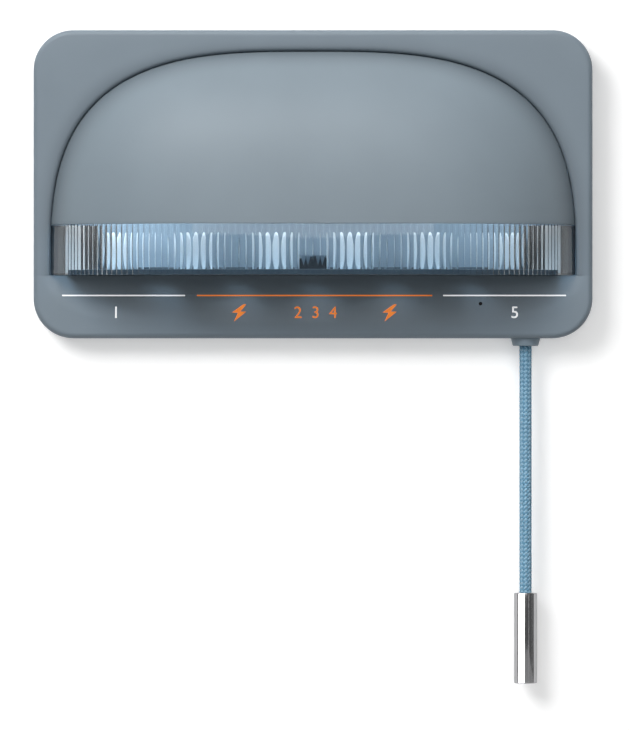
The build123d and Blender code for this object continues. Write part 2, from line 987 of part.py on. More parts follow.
def charging_socket():
    half_w = port_width / 2
    half_t = port_thickness / 2
    low_z = underside_inner_z + assembly_gap
    shell = block(
        (port_x - half_w, port_x + half_w),
        (port_y + half_t, port_y - half_t),
        (low_z, low_z + port_depth),
    )
    upright = shell.edges().filter_by(Axis.Z)
    shell = fillet(upright, port_thickness / 4)
    hollow = block(
        (port_x - half_w + port_shell, port_x + half_w - port_shell),
        (port_y + half_t - port_shell, port_y - half_t + port_shell),
        (low_z - 1, low_z + port_depth * 0.8),
    )
    tongue = block(
        (port_x - half_w * 0.7, port_x + half_w * 0.7),
        (port_y + port_shell, port_y - port_shell),
        (low_z + 1, low_z + port_depth),
    )
    return shell - hollow + tongue


def port_flap():
    """The soft flap over the charging slot, with a shallow plug."""
    hinge_y = port_y + flap_reach / 2
    plate = block(
        (port_x - flap_width / 2, port_x + flap_width / 2),
        (hinge_y, hinge_y - flap_reach),
        (underside_z, underside_z + flap_thickness),
    )
    plug = block(
        (port_x - flap_plug_width / 2, port_x + flap_plug_width / 2),
        (port_y + flap_plug_thickness / 2, port_y - flap_plug_thickness / 2),
        (underside_z + flap_thickness, underside_z + flap_thickness + flap_plug_height),
    )
    return plate + plug


def indicator_light_pipe():
    front = front_y + scoop_depth * 0.42
    back = board_front_y - indicator_flange - assembly_gap
    stem = rod_y(indicator_x, indicator_z, indicator_diameter, back, front)
    seat = collar_back_y + assembly_gap
    flange = rod_y(indicator_x, indicator_z, indicator_flange_diameter, seat + indicator_flange, seat)
    return stem + flange


# Pull cord and switch


def cord_gland():
    collar = Pos(cord_x, split_y, underside_z - gland_drop / 2) * Cone(
        gland_mouth_diameter / 2, gland_top_diameter / 2, gland_drop
    )
    neck = rod_z(cord_x, split_y, gland_neck_diameter, underside_z, underside_inner_z)
    flange = rod_z(cord_x, split_y, gland_flange_diameter, underside_inner_z, spring_base_z)
    bore = rod_z(cord_x, split_y, gland_bore, gland_mouth_z - 1, spring_base_z + 1)
    return collar + neck + flange - bore


def cord_knot():
    """The cord's inner end, from its joint in the gland up to the knot in the carrier."""
    run = rod_z(cord_x, split_y, cord_diameter, pivot_z + cord_diameter / 4, slider_top_z)
    knot_z = slider_top_z + knot_diameter * 0.3
    knot = Pos(cord_x, split_y, knot_z) * Sphere(knot_diameter / 2)
    socket = Pos(cord_x, split_y, pivot_z) * Sphere(cord_diameter / 2 + joint_ball_gap)
    return run + knot - socket


def switch_slider():
    """The carrier that the cord pulls down, with the ramp that works the switch."""
    disc = rod_z(cord_x, split_y, slider_diameter, slider_base_z, slider_top_z)
    tip_x = ramp_x
    high_z = ramp_top_z
    low_z = slider_base_z + slider_flange / 2
    high_x = tip_x - ramp_slope * (high_z - plunger_z)
    low_x = tip_x - ramp_slope * (low_z - plunger_z)
    right_x = tip_x + ramp_thickness
    profile = make_face(
        Polyline(
            (high_x, 0, high_z),
            (low_x, 0, low_z),
            (right_x, 0, low_z),
            (right_x, 0, high_z),
            close=True,
        )
    )
    ramp = slab_y(profile, split_y + ramp_depth / 2, split_y - ramp_depth / 2)
    arm = block(
        (right_x - ramp_thickness / 2, cord_x),
        (split_y + ramp_depth / 2, split_y - ramp_depth / 2),
        (slider_base_z, slider_top_z),
    )
    bore = rod_z(
        cord_x,
        split_y,
        cord_diameter + 2 * slider_cord_gap,
        slider_base_z - 1,
        slider_top_z + 1,
    )
    seat = Pos(cord_x, split_y, slider_top_z + knot_diameter * 0.3) * Sphere(knot_diameter / 2)
    return disc + ramp + arm - bore - seat


def return_spring():
    pitch = (spring_length - spring_wire) / spring_turns
    radius = spring_mean_diameter / 2
    height = spring_length - spring_wire
    base = (cord_x, split_y, spring_base_z + spring_wire / 2)
    coil = Helix(pitch=pitch, height=height, radius=radius)
    section = Plane(origin=coil @ 0, z_dir=coil % 0) * Circle(spring_wire / 2)
    return Pos(*base) * sweep(section, path=coil, is_frenet=True)


def switch_left():
    """The micro switch's left and right sides along X."""
    right = ramp_x - ramp_contact_gap - switch_gap
    return (right - switch_width, right)


def micro_switch():
    left, right = switch_left()
    body = block(
        (left, right),
        (board_front_y, board_front_y - switch_thickness),
        (plunger_z - switch_height / 2, plunger_z + switch_height / 2),
    )
    y = board_front_y - switch_thickness / 2
    bore = Pos(right, y, plunger_z) * Rot(0, 90, 0) * Cylinder(
        plunger_diameter / 2 + plunger_gap, 2 * plunger_length
    )
    return body - bore


def switch_plunger():
    y = board_front_y - switch_thickness / 2
    tip = ramp_x - ramp_contact_gap
    middle = tip - plunger_length / 2
    return Pos(middle, y, plunger_z) * Rot(0, 90, 0) * Cylinder(plunger_diameter / 2, plunger_length)


def pull_cord():
    """The braided cord from its joint in the gland down into the weight."""
    end_z = cord_end_z - weight_bore_depth
    tube = rod_z(cord_x, split_y, cord_diameter, end_z, pivot_z)
    return tube + Pos(cord_x, split_y, pivot_z) * Sphere(cord_diameter / 2)


def pull_weight():
    bar = rod_z(cord_x, split_y, weight_diameter, cord_end_z - weight_length, cord_end_z)
    rims = bar.edges().filter_by(GeomType.CIRCLE)
    bar = chamfer(rims, weight_edge)
    return bar - rod_z(cord_x, split_y, cord_diameter, cord_end_z - weight_bore_depth, cord_end_z + 1)


PARTS = {
    "wall_plate": wall_plate,
    "adhesive_pad": adhesive_pad,
    "rear_housing": rear_housing,
    "front_frame": front_frame,
    "housing_gasket": housing_gasket,
    "dome_cover": dome_cover,
    "ribbed_window": ribbed_window,
    "chamber_liner": chamber_liner,
    "brush_rack": brush_rack,
    "slot_lips": slot_lips,
    "uv_lamp_board": uv_lamp_board,
    "uv_lamps": uv_lamps,
    "sensor_window": sensor_window,
    "presence_sensor": presence_sensor,
    "main_circuit_board": main_circuit_board,
    "board_components": board_components,
    "battery": battery,
    "battery_tape": battery_tape,
    "battery_leads": battery_leads,
    "lamp_leads": lamp_leads,
    "charging_socket": charging_socket,
    "port_flap": port_flap,
    "indicator_light_pipe": indicator_light_pipe,
    "cord_gland": cord_gland,
    "cord_knot": cord_knot,
    "switch_slider": switch_slider,
    "return_spring": return_spring,
    "micro_switch": micro_switch,
    "switch_plunger": switch_plunger,
    "pull_cord": pull_cord,
    "pull_weight": pull_weight,
    "housing_screws": housing_screws,
    "chamber_screws": chamber_screws,
    "board_screws": board_screws,
}


def main():
    os.makedirs("parts", exist_ok=True)
    for name, make in PARTS.items():
        shape = make()
        shape.label = name
        export_step(shape, os.path.join("parts", name + ".step"))
        print(name, "solids", len(shape.solids()), "volume", round(shape.volume, 1))


if __name__ == "__main__":
    main()
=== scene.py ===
"""The looks of a wall-hung toothbrush sterilizer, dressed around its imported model.

Everything is in metres in the model's own frame: +X points right as one faces the
sterilizer, +Z points up, the wall is the plane y = 0, and the front looks along -Y.
"""

import logging
import math
from dataclasses import dataclass
from enum import Enum
from typing import Any, Sequence

import bmesh
import bpy
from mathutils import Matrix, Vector


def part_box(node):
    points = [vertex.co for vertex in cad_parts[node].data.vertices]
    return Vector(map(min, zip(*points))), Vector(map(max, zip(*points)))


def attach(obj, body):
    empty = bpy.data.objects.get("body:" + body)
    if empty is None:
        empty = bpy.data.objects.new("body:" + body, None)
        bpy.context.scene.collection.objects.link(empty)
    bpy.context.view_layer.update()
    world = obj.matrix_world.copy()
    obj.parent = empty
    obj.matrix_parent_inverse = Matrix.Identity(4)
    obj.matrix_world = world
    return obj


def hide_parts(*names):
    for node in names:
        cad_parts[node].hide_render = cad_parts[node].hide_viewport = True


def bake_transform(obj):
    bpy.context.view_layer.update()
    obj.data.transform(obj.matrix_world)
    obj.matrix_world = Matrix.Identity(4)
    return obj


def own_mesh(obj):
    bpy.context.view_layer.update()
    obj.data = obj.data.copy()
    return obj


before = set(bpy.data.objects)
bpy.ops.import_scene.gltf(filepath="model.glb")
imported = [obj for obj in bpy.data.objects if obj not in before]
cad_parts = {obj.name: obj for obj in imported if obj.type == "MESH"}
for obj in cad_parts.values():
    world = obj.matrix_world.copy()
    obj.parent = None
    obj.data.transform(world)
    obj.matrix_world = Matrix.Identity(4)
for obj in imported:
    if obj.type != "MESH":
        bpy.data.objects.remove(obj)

LOG = logging.getLogger("sterilizer")
MM = 0.001
WELD = 1e-7

Point = tuple[float, float, float]
Spot = tuple[float, float]
Colour = tuple[float, float, float]


class Ink(Enum):
    """The two colours printed on the lower front."""

    WHITE = "white"
    ORANGE = "orange"


class Reach(Enum):
    """What a lamp lights: all but the wall and floor, only those two, or only the weight."""

    OBJECT = "object"
    STAGE = "stage"
    WEIGHT = "weight"


class Lay(Enum):
    """Which way round the cord a strand winds."""

    RIGHT_HANDED = 1
    LEFT_HANDED = -1


# Small helpers


def linear(colour: Colour) -> tuple[float, float, float, float]:
    """Turns a screen colour into the light values that shaders take.

    Args:
        colour: red, green and blue from 0 to 255.

    Returns:
        Red, green, blue and a full alpha, from 0 to 1.
    """
    values = []
    for part in colour:
        share = part / 255
        values.append(share / 12.92 if share <= 0.04045 else ((share + 0.055) / 1.055) ** 2.4)
    return (values[0], values[1], values[2], 1.0)


def spread(start: float, end: float, steps: int) -> list[float]:
    """Evenly spaced values from start to end.

    Args:
        start: the first value.
        end: the last value.
        steps: how many gaps lie between them.

    Returns:
        steps + 1 values.
    """
    return [start + (end - start) * i / steps for i in range(steps + 1)]


def link_piece(name: str, mesh: bpy.types.Mesh) -> bpy.types.Object:
    """Puts a mesh into the scene as a piece.

    Args:
        name: the piece's name.
        mesh: its mesh.

    Returns:
        The new object, at the origin.
    """
    piece = bpy.data.objects.new(name, mesh)
    bpy.context.scene.collection.objects.link(piece)
    return piece


def settle(piece: bpy.types.Object) -> bpy.types.Object:
    """Turns a piece's modifiers into plain mesh.

    Args:
        piece: the piece, with its modifiers set.

    Returns:
        The same piece, with no modifier left on it.
    """
    graph = bpy.context.evaluated_depsgraph_get()
    shaped = bpy.data.meshes.new_from_object(piece.evaluated_get(graph))
    piece.modifiers.clear()
    piece.data = shaped
    return piece


def smooth_below(piece: bpy.types.Object, degrees: float) -> None:
    """Shades a piece smooth, apart from edges sharper than an angle.

    Args:
        piece: the piece to shade.
        degrees: the angle between faces past which an edge stays sharp.
    """
    piece.data.polygons.foreach_set("use_smooth", [True] * len(piece.data.polygons))
    piece.data.set_sharp_from_angle(angle=math.radians(degrees))


def coat_in(piece: bpy.types.Object, material: bpy.types.Material) -> None:
    """Gives a piece one finish and no other.

    Args:
        piece: the piece.
        material: the finish.
    """
    piece.data.materials.clear()
    piece.data.materials.append(material)


def thicken(piece: bpy.types.Object, thickness: float) -> None:
    """Adds a wall behind a skin, without even offset, which throws spikes at sharp corners.

    Args:
        piece: the skin, facing outward.
        thickness: the wall's.
    """
    wall = piece.modifiers.new("wall", "SOLIDIFY")
    wall.thickness = thickness
    wall.offset = -1
    wall.use_even_offset = False


class Sketch:
    """Points and faces drawn one by one, where points at one place are one point."""

    def __init__(self) -> None:
        """Starts with nothing drawn."""
        self.points: list[Point] = []
        self.faces: list[list[int]] = []
        self.places: dict[tuple[int, int, int], int] = {}

    def point(self, place: Point) -> int:
        """Gives the number of the point at a place, and makes it if it is new.

        Args:
            place: X, Y and Z.

        Returns:
            The point's number.
        """
        key = (round(place[0] / WELD), round(place[1] / WELD), round(place[2] / WELD))
        if key not in self.places:
            self.places[key] = len(self.points)
            self.points.append(place)
        return self.places[key]

    def face(self, corners: Sequence[Point]) -> None:
        """Draws a face, leaving out corners that fall together.

        Args:
            corners: its corners in order.
        """
        numbers: list[int] = []
        for corner in corners:
            number = self.point(corner)
            if number not in numbers:
                numbers.append(number)
        if len(numbers) > 2:
            self.faces.append(numbers)

    def grid(self, rows: Sequence[Sequence[Point]], closed: bool = False) -> None:
        """Draws the faces between rows of points.

        Args:
            rows: rows with the same number of points each.
            closed: True if each row joins its own start.
        """
        for low, high in zip(rows[:-1], rows[1:]):
            count = len(low)
            for i in range(count if closed else count - 1):
                j = (i + 1) % count
                self.face([low[i], low[j], high[j], high[i]])

    def piece(self, name: str, outward: Point | None = None) -> bpy.types.Object:
        """Makes the drawing a piece whose faces agree on their outside.

        Args:
            name: the piece's name.
            outward: for an open surface, the way its widest faces look.

        Returns:
            The new object.
        """
        mesh = bpy.data.meshes.new(name)
        mesh.from_pydata(self.points, [], self.faces)
        drawn = bmesh.new()
        drawn.from_mesh(mesh)
        bmesh.ops.recalc_face_normals(drawn, faces=drawn.faces)
        if outward is not None:
            facing = sum(f.normal.dot(Vector(outward)) * f.calc_area() for f in drawn.faces)
            if facing < 0:
                bmesh.ops.reverse_faces(drawn, faces=drawn.faces)
        drawn.to_mesh(mesh)
        drawn.free()
        return link_piece(name, mesh)


def circle(radius: float, sides: int) -> list[Spot]:
    """Places round a circle about the origin.

    Args:
        radius: the circle's.
        sides: how many places there are.

    Returns:
        The places in order.
    """
    angles = [2 * math.pi * i / sides for i in range(sides)]
    return [(radius * math.cos(a), radius * math.sin(a)) for a in angles]


def turned(
    name: str, profile: Sequence[Spot], centre: Spot, steps: int = 96, forward: bool = False
) -> bpy.types.Object:
    """Turns a closed profile round an axis.

    Args:
        name: the piece's name.
        profile: corners as radius and place along the axis, in order round the section.
        centre: the axis as X and Y if it is upright, or X and Z if it points forward.
        steps: how many sides the round has.
        forward: True if the axis runs along Y and not along Z.

    Returns:
        The new piece, a closed solid.
    """
    sketch = Sketch()
    rows = []
    for radius, along in [*profile, profile[0]]:
        ring = [(centre[0] + u, centre[1] + v) for u, v in circle(radius, steps)]
        rows.append([(u, along, v) if forward else (u, v, along) for u, v in ring])
    sketch.grid(rows, closed=True)
    return sketch.piece(name)


# Trees of nodes


class NodeSheet:
    """A tree of nodes, with short ways to add and join them."""

    def __init__(self, tree: bpy.types.NodeTree) -> None:
        """Takes the tree that the nodes go into.

        Args:
            tree: a material's, a world's or a geometry tree.
        """
        self.tree = tree

    def fill(self, socket: bpy.types.NodeSocket, value: Any) -> None:
        """Gives an input a plain value or another node's output, or leaves it for None.

        Args:
            socket: the input.
            value: a plain value, another node's output or None.
        """
        if isinstance(value, bpy.types.NodeSocket):
            self.tree.links.new(value, socket)
        elif value is not None:
            socket.default_value = value

    def add(self, kind: str, inputs: dict[str | int, Any] | None = None, **settings: Any) -> bpy.types.Node:
        """Adds a node.

        Args:
            kind: Blender's name for it.
            inputs: what goes into each input, by its name or number.
            settings: its options.

        Returns:
            The node.
        """
        node = self.tree.nodes.new(kind)
        for option, value in settings.items():
            setattr(node, option, value)
        for socket, value in (inputs or {}).items():
            self.fill(node.inputs[socket], value)
        return node

    def sum(self, kind: str, *values: Any) -> bpy.types.NodeSocket:
        """One sum of sockets or plain numbers.

        Args:
            kind: Blender's name for the sum.
            values: what it takes, in order.

        Returns:
            The socket with the result.
        """
        return self.add("ShaderNodeMath", dict(enumerate(values)), operation=kind).outputs[0]


class ShapeTree(NodeSheet):
    """Geometry nodes with a named input for each size, which end in one finish."""

    def __init__(self, name: str, sizes: dict[str, float | int]) -> None:
        """Starts a tree with geometry in and out.

        Args:
            name: the tree's name.
            sizes: each size's name and value.
        """
        super().__init__(bpy.data.node_groups.new(name, "GeometryNodeTree"))
        self.sizes = sizes
        made = self.tree.interface
        made.new_socket("Geometry", in_out="INPUT", socket_type="NodeSocketGeometry")
        for size, value in sizes.items():
            kind = "NodeSocketInt" if isinstance(value, int) else "NodeSocketFloat"
            made.new_socket(size, in_out="INPUT", socket_type=kind)
        made.new_socket("Geometry", in_out="OUTPUT", socket_type="NodeSocketGeometry")
        self.given = self.add("NodeGroupInput").outputs
        self.output = self.add("NodeGroupOutput")

    def vector(self, kind: str, *values: Any, scale: Any = None) -> bpy.types.NodeSocket:
        """One sum of vectors.

        Args:
            kind: Blender's name for the sum.
            values: the vectors that it takes.
            scale: the number that it takes, if any.

        Returns:
            The socket with the result.
        """
        node = self.add("ShaderNodeVectorMath", dict(enumerate(values)), operation=kind)
        if scale is not None:
            self.fill(node.inputs["Scale"], scale)
        return node.outputs["Vector"]

    def tube(self, line: bpy.types.NodeSocket, radius: Any, sides: int) -> bpy.types.NodeSocket:
        """A tube with closed ends round a line.

        Args:
            line: the curve's socket.
            radius: the tube's, as a socket or a number.
            sides: how many sides its section has.

        Returns:
            The socket with the mesh.
        """
        ring = self.add("GeometryNodeCurvePrimitiveCircle", {"Resolution": sides, "Radius": radius})
        section = ring.outputs["Curve"]
        inputs = {"Curve": line, "Profile Curve": section, "Fill Caps": True}
        return self.add("GeometryNodeCurveToMesh", inputs).outputs["Mesh"]

    def on_points(self, what: bpy.types.NodeSocket) -> bpy.types.NodeSocket:
        """One shape set on each point of the tree's own piece.

        Args:
            what: the shape's socket.

        Returns:
            The socket with all of them.
        """
        inputs = {"Points": self.given["Geometry"], "Instance": what}
        return self.add("GeometryNodeInstanceOnPoints", inputs).outputs["Instances"]

    def finish(self, shape: bpy.types.NodeSocket, material: bpy.types.Material) -> None:
        """Ends the tree with a whole mesh in one finish.

        Args:
            shape: the socket with the shape.
            material: the finish.
        """
        whole = self.add("GeometryNodeRealizeInstances", {"Geometry": shape}).outputs["Geometry"]
        coated = self.add("GeometryNodeSetMaterial", {"Geometry": whole, "Material": material})
        self.fill(self.output.inputs["Geometry"], coated.outputs["Geometry"])

    def shape(self, piece: bpy.types.Object) -> None:
        """Runs the tree on a piece and keeps the result as plain mesh.

        Args:
            piece: what goes into the tree.
        """
        modifier = piece.modifiers.new(self.tree.name, "NODES")
        modifier.node_group = self.tree
        for item in self.tree.interface.items_tree:
            if item.item_type == "SOCKET" and item.in_out == "INPUT" and item.name in self.sizes:
                modifier[item.identifier] = self.sizes[item.name]
        settle(piece)


# Finishes


def toned(colour: Colour, share: float) -> Colour:
    """A screen colour made darker or lighter by a share."""
    return tuple(min(255.0, part * share) for part in colour)


class ShaderSheet(NodeSheet):
    """A material's nodes, with its main shader at hand."""

    def __init__(self, name: str) -> None:
        """Starts a material whose surface is the main shader alone.

        Args:
            name: the material's name.
        """
        self.material = bpy.data.materials.new(name)
        self.material.use_nodes = True
        super().__init__(self.material.node_tree)
        self.tree.nodes.clear()
        self.output = self.add("ShaderNodeOutputMaterial")
        self.shader = self.add("ShaderNodeBsdfPrincipled")
        self.fill(self.output.inputs["Surface"], self.shader.outputs["BSDF"])
        self.place = self.add("ShaderNodeTexCoord").outputs["Object"]

    def set(self, **values: Any) -> None:
        """Fills the main shader's inputs, with _ for the spaces in their names."""
        for name, value in values.items():
            self.fill(self.shader.inputs[name.replace("_", " ")], value)

    def axis(self, name: str) -> bpy.types.NodeSocket:
        """The socket with a place's X, Y or Z on the object."""
        return self.add("ShaderNodeSeparateXYZ", {"Vector": self.place}).outputs[name]

    def noise(self, size: float, detail: float = 2.0, stretch: Point = (1, 1, 1)) -> bpy.types.NodeSocket:
        """Cloudy values whose patches are about one size.

        Args:
            size: how wide a patch is, in metres.
            detail: how many finer layers it has.
            stretch: how much closer together the patches are along each axis.

        Returns:
            The socket with values about 0.5.
        """
        place = self.add("ShaderNodeMapping", {"Vector": self.place, "Scale": stretch}).outputs["Vector"]
        inputs = {"Vector": place, "Scale": 1 / size, "Detail": detail}
        return self.add("ShaderNodeTexNoise", inputs).outputs["Fac"]

    def between(
        self, source: bpy.types.NodeSocket, low: float, high: float, start: float = 0.3, end: float = 0.7
    ) -> bpy.types.NodeSocket:
        """Spreads a value out between two others.

        Args:
            source: the value's socket.
            low: what start becomes.
            high: what end becomes.
            start: the value at the low end.
            end: the value at the high end.

        Returns:
            The socket with the new value.
        """
        inputs = {"Value": source, "From Min": start, "From Max": end, "To Min": low, "To Max": high}
        return self.add("ShaderNodeMapRange", inputs).outputs["Result"]

    def mix(self, share: Any, first: Any, second: Any, kind: str = "MIX") -> bpy.types.NodeSocket:
        """A colour made of two others.

        Args:
            share: how much of the second there is, as a socket or a number.
            first: a screen colour or a socket.
            second: a screen colour or a socket.
            kind: Blender's name for how they mix.

        Returns:
            The socket with the colour.
        """
        node = self.add("ShaderNodeMix", {"Factor": share}, data_type="RGBA", blend_type=kind)
        for socket, value in zip([s for s in node.inputs if s.type == "RGBA"], (first, second)):
            self.fill(socket, linear(value) if isinstance(value, tuple) else value)
        return next(s for s in node.outputs if s.type == "RGBA")

    def bump(self, height: bpy.types.NodeSocket, depth: float) -> None:
        """Raises the surface by a value.

        Args:
            height: the value's socket.
            depth: how high a value of 1 stands, in metres.
        """
        bump = self.add("ShaderNodeBump", {"Height": height, "Distance": depth})
        self.set(Normal=bump.outputs["Normal"])

    def swap(self, share: bpy.types.NodeSocket, other: bpy.types.NodeSocket) -> None:
        """Shows another shader in the main one's place.

        Args:
            share: how much of it shows.
            other: its socket.
        """
        mix = self.add("ShaderNodeMixShader", {"Fac": share, 1: self.shader.outputs["BSDF"], 2: other})
        self.fill(self.output.inputs["Surface"], mix.outputs["Shader"])


@dataclass(frozen=True)
class CreaseShade:
    """Painted shade: a soft dark band where the cover meets the body, an arch on Object coordinates."""

    half_width: float
    base_z: float
    height: float
    power: float
    width: float = 0.085
    depth: float = 0.40

    def paint_crease_shade(self, sheet: ShaderSheet, colour: bpy.types.NodeSocket) -> bpy.types.NodeSocket:
        """Paints shade into a colour towards the seam where the cover meets the body.

        Args:
            sheet: the material's nodes.
            colour: the colour's socket.

        Returns:
            The socket with the new colour.
        """
        x = sheet.sum("DIVIDE", sheet.sum("ABSOLUTE", sheet.axis("X")), self.half_width)
        rise = sheet.sum("SUBTRACT", sheet.axis("Z"), self.base_z)
        z = sheet.sum("DIVIDE", sheet.sum("ABSOLUTE", rise), self.height)
        total = sheet.sum("ADD", sheet.sum("POWER", x, self.power), sheet.sum("POWER", z, self.power))
        size = sheet.sum("POWER", total, 1 / self.power)
        away = sheet.sum("ABSOLUTE", sheet.sum("SUBTRACT", size, 1.0))
        above = sheet.sum("GREATER_THAN", rise, 0.0)
        near = sheet.between(away, 1.0, 0.0, start=0.0, end=self.width)
        soft = sheet.sum("MULTIPLY", sheet.sum("MULTIPLY", near, near), above)
        # painted shade, darkest right at the seam between the cover and the body
        shade = sheet.sum("SUBTRACT", 1.0, sheet.sum("MULTIPLY", soft, self.depth))
        return sheet.mix(1.0, colour, shade, kind="MULTIPLY")


@dataclass(frozen=True)
class MouldedPlastic:
    """Moulded plastic with a fine spark-eroded texture, and painted shade along the cover's seam if given."""

    name: str
    colour: Colour
    roughness: float = 0.5
    rough_spread: float = 0.03
    grain: float = 0.22 * MM
    grain_depth: float = 0.006 * MM
    cloud: float = 30 * MM
    cloud_share: float = 0.012
    # painted shade where the cover meets the body, if given
    crease_shade: CreaseShade | None = None

    def make(self) -> bpy.types.Material:
        """Builds the material.

        Returns:
            The finished material.
        """
        sheet = ShaderSheet(self.name)
        dark, light = (toned(self.colour, 1 + way * self.cloud_share) for way in (-1, 1))
        colour = sheet.mix(sheet.between(sheet.noise(self.cloud), 0, 1), dark, light)
        # painted shade towards the seam between the cover and the body
        if self.crease_shade is not None:
            colour = self.crease_shade.paint_crease_shade(sheet, colour)
        texture = sheet.noise(self.grain, detail=3)
        rough = sheet.between(texture, self.roughness - self.rough_spread, self.roughness + self.rough_spread)
        sheet.set(Base_Color=colour, Roughness=rough)
        sheet.bump(texture, self.grain_depth)
        return sheet.material


@dataclass(frozen=True)
class RackPlastic:
    """The rack's mouldings: a dark floor, a plain back and pale posts."""

    name: str
    floor: Colour
    back: Colour
    post: Colour
    floor_z: float
    back_y: float
    cloud: float = 8 * MM
    cloud_tone: float = 0.97
    grain: float = 0.25 * MM
    grain_depth: float = 0.004 * MM
    least_rough: float = 0.36
    most_rough: float = 0.44

    def make(self) -> bpy.types.Material:
        """Builds the material.

        Returns:
            The finished material.
        """
        sheet = ShaderSheet(self.name)
        clouds = sheet.between(sheet.noise(self.cloud), 0, 1)
        post = sheet.mix(clouds, toned(self.post, self.cloud_tone), self.post)
        upright = sheet.mix(sheet.sum("LESS_THAN", sheet.axis("Y"), self.back_y), self.back, post)
        shade = sheet.mix(sheet.sum("LESS_THAN", sheet.axis("Z"), self.floor_z), upright, self.floor)
        texture = sheet.noise(self.grain, detail=3)
        sheet.set(Base_Color=shade, Roughness=sheet.between(texture, self.least_rough, self.most_rough))
        sheet.bump(texture, self.grain_depth)
        return sheet.material


@dataclass(frozen=True)
class SoftRubber:
    """Soft dull rubber or foam with a powdery face."""

    name: str
    colour: Colour
    roughness: float = 0.75
    sheen: float = 0.15
    pores: float = 0.5 * MM
    pore_depth: float = 0.02 * MM
    pore_tone: float = 0.93

    def make(self) -> bpy.types.Material:
        """Builds the material.

        Returns:
            The finished material.
        """
        sheet = ShaderSheet(self.name)
        pores = sheet.noise(self.pores, detail=4)
        colour = sheet.mix(sheet.between(pores, 0, 1), toned(self.colour, self.pore_tone), self.colour)
        sheet.set(Base_Color=colour, Roughness=self.roughness, Sheen_Weight=self.sheen)
        sheet.bump(pores, self.pore_depth)
        return sheet.material


@dataclass(frozen=True)
class PlainMetal:
    """Metal, from polished plating to drawn steel."""

    name: str
    colour: Colour
    roughness: float = 0.3
    rough_share: float = 0.15
    drawn: Point = (1, 1, 1)
    scratch: float = 0.4 * MM
    scratch_depth: float = 0.001 * MM
    scratch_tone: float = 0.97
    edge: float = 1.0

    def make(self) -> bpy.types.Material:
        """Builds the material.

        Returns:
            The finished material.
        """
        sheet = ShaderSheet(self.name)
        lines = sheet.noise(self.scratch, detail=3, stretch=self.drawn)
        colour = sheet.mix(sheet.between(lines, 0, 1), toned(self.colour, self.scratch_tone), self.colour)
        least, most = (self.roughness * (1 + way * self.rough_share) for way in (-1, 1))
        sheet.set(Base_Color=colour, Metallic=1.0, Roughness=sheet.between(lines, least, most))
        sheet.set(Specular_Tint=(self.edge, self.edge, self.edge, 1))
        sheet.bump(lines, self.scratch_depth)
        return sheet.material


@dataclass(frozen=True)
class ClearPlastic:
    """Clear tinted plastic that lets lamps light what is behind it."""

    name: str
    tint: Colour
    lamp_tint: Colour
    bend: float = 1.49
    roughness: float = 0.02
    haze: float = 1.6
    flow: float = 12 * MM
    flow_stretch: Point = (1, 1, 0.3)

    def make(self) -> bpy.types.Material:
        """Builds the material.

        Returns:
            The finished material.
        """
        sheet = ShaderSheet(self.name)
        flow = sheet.noise(self.flow, stretch=self.flow_stretch)
        rough = sheet.between(flow, self.roughness, self.roughness * self.haze)
        sheet.set(Base_Color=linear(self.tint), Roughness=rough, Transmission_Weight=1.0, IOR=self.bend)
        clear = sheet.add("ShaderNodeBsdfTransparent", {"Color": linear(self.lamp_tint)})
        path = sheet.add("ShaderNodeLightPath").outputs
        either = sheet.sum("MAXIMUM", path["Is Shadow Ray"], path["Is Diffuse Ray"])
        sheet.swap(either, clear.outputs["BSDF"])
        return sheet.material


@dataclass(frozen=True)
class BraidedThread:
    """Dyed thread whose strands differ a little and carry pale flecks."""

    name: str
    dark: Colour
    light: Colour
    fleck: Colour
    fleck_share: float = 0.55
    fleck_start: float = 0.58
    fleck_end: float = 0.72
    fibre: float = 0.25 * MM
    fibre_stretch: Point = (1, 1, 0.35)
    fibre_depth: float = 0.03 * MM
    roughness: float = 0.75
    sheen: float = 0.3
    shine: float = 0.3

    def make(self) -> bpy.types.Material:
        """Builds the material.

        Returns:
            The finished material.
        """
        sheet = ShaderSheet(self.name)
        fibres = sheet.noise(self.fibre, detail=3, stretch=self.fibre_stretch)
        tone = sheet.add("ShaderNodeAttribute", attribute_name="strand_tone").outputs["Fac"]
        dyed = sheet.mix(tone, self.dark, self.light)
        flecks = sheet.between(fibres, 0, self.fleck_share, start=self.fleck_start, end=self.fleck_end)
        sheet.set(Base_Color=sheet.mix(flecks, dyed, self.fleck))
        sheet.set(Roughness=self.roughness, Sheen_Weight=self.sheen, Specular_IOR_Level=self.shine)
        sheet.bump(fibres, self.fibre_depth)
        return sheet.material


@dataclass(frozen=True)
class PrintedInk:
    """A thin coat of bright printed ink, with a painted glow that keeps it bright in the shade below the
    dome.
    """

    name: str
    colour: Colour
    painted_glow: float = 0.55
    coat: float = 0.3 * MM
    coat_depth: float = 0.002 * MM
    coat_tone: float = 0.96
    roughness: float = 0.5

    def make(self) -> bpy.types.Material:
        """Builds the material.

        Returns:
            The finished material.
        """
        sheet = ShaderSheet(self.name)
        coat = sheet.noise(self.coat, detail=3)
        colour = sheet.mix(sheet.between(coat, 0, 1), toned(self.colour, self.coat_tone), self.colour)
        sheet.set(Base_Color=colour, Roughness=self.roughness)
        # painted light: the ink glows so that the shade below the dome does not darken it
        sheet.set(Emission_Color=colour, Emission_Strength=self.painted_glow)
        sheet.bump(coat, self.coat_depth)
        return sheet.material


def dress(names: Sequence[str], material: bpy.types.Material) -> None:
    """Gives carried-over nodes a finish.

    Args:
        names: the nodes' names.
        material: the finish.
    """
    for name in names:
        coat_in(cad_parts[name], material)
        LOG.info("dressed %s in %s", name, material.name)


# The shape that the body, the cover and the window share


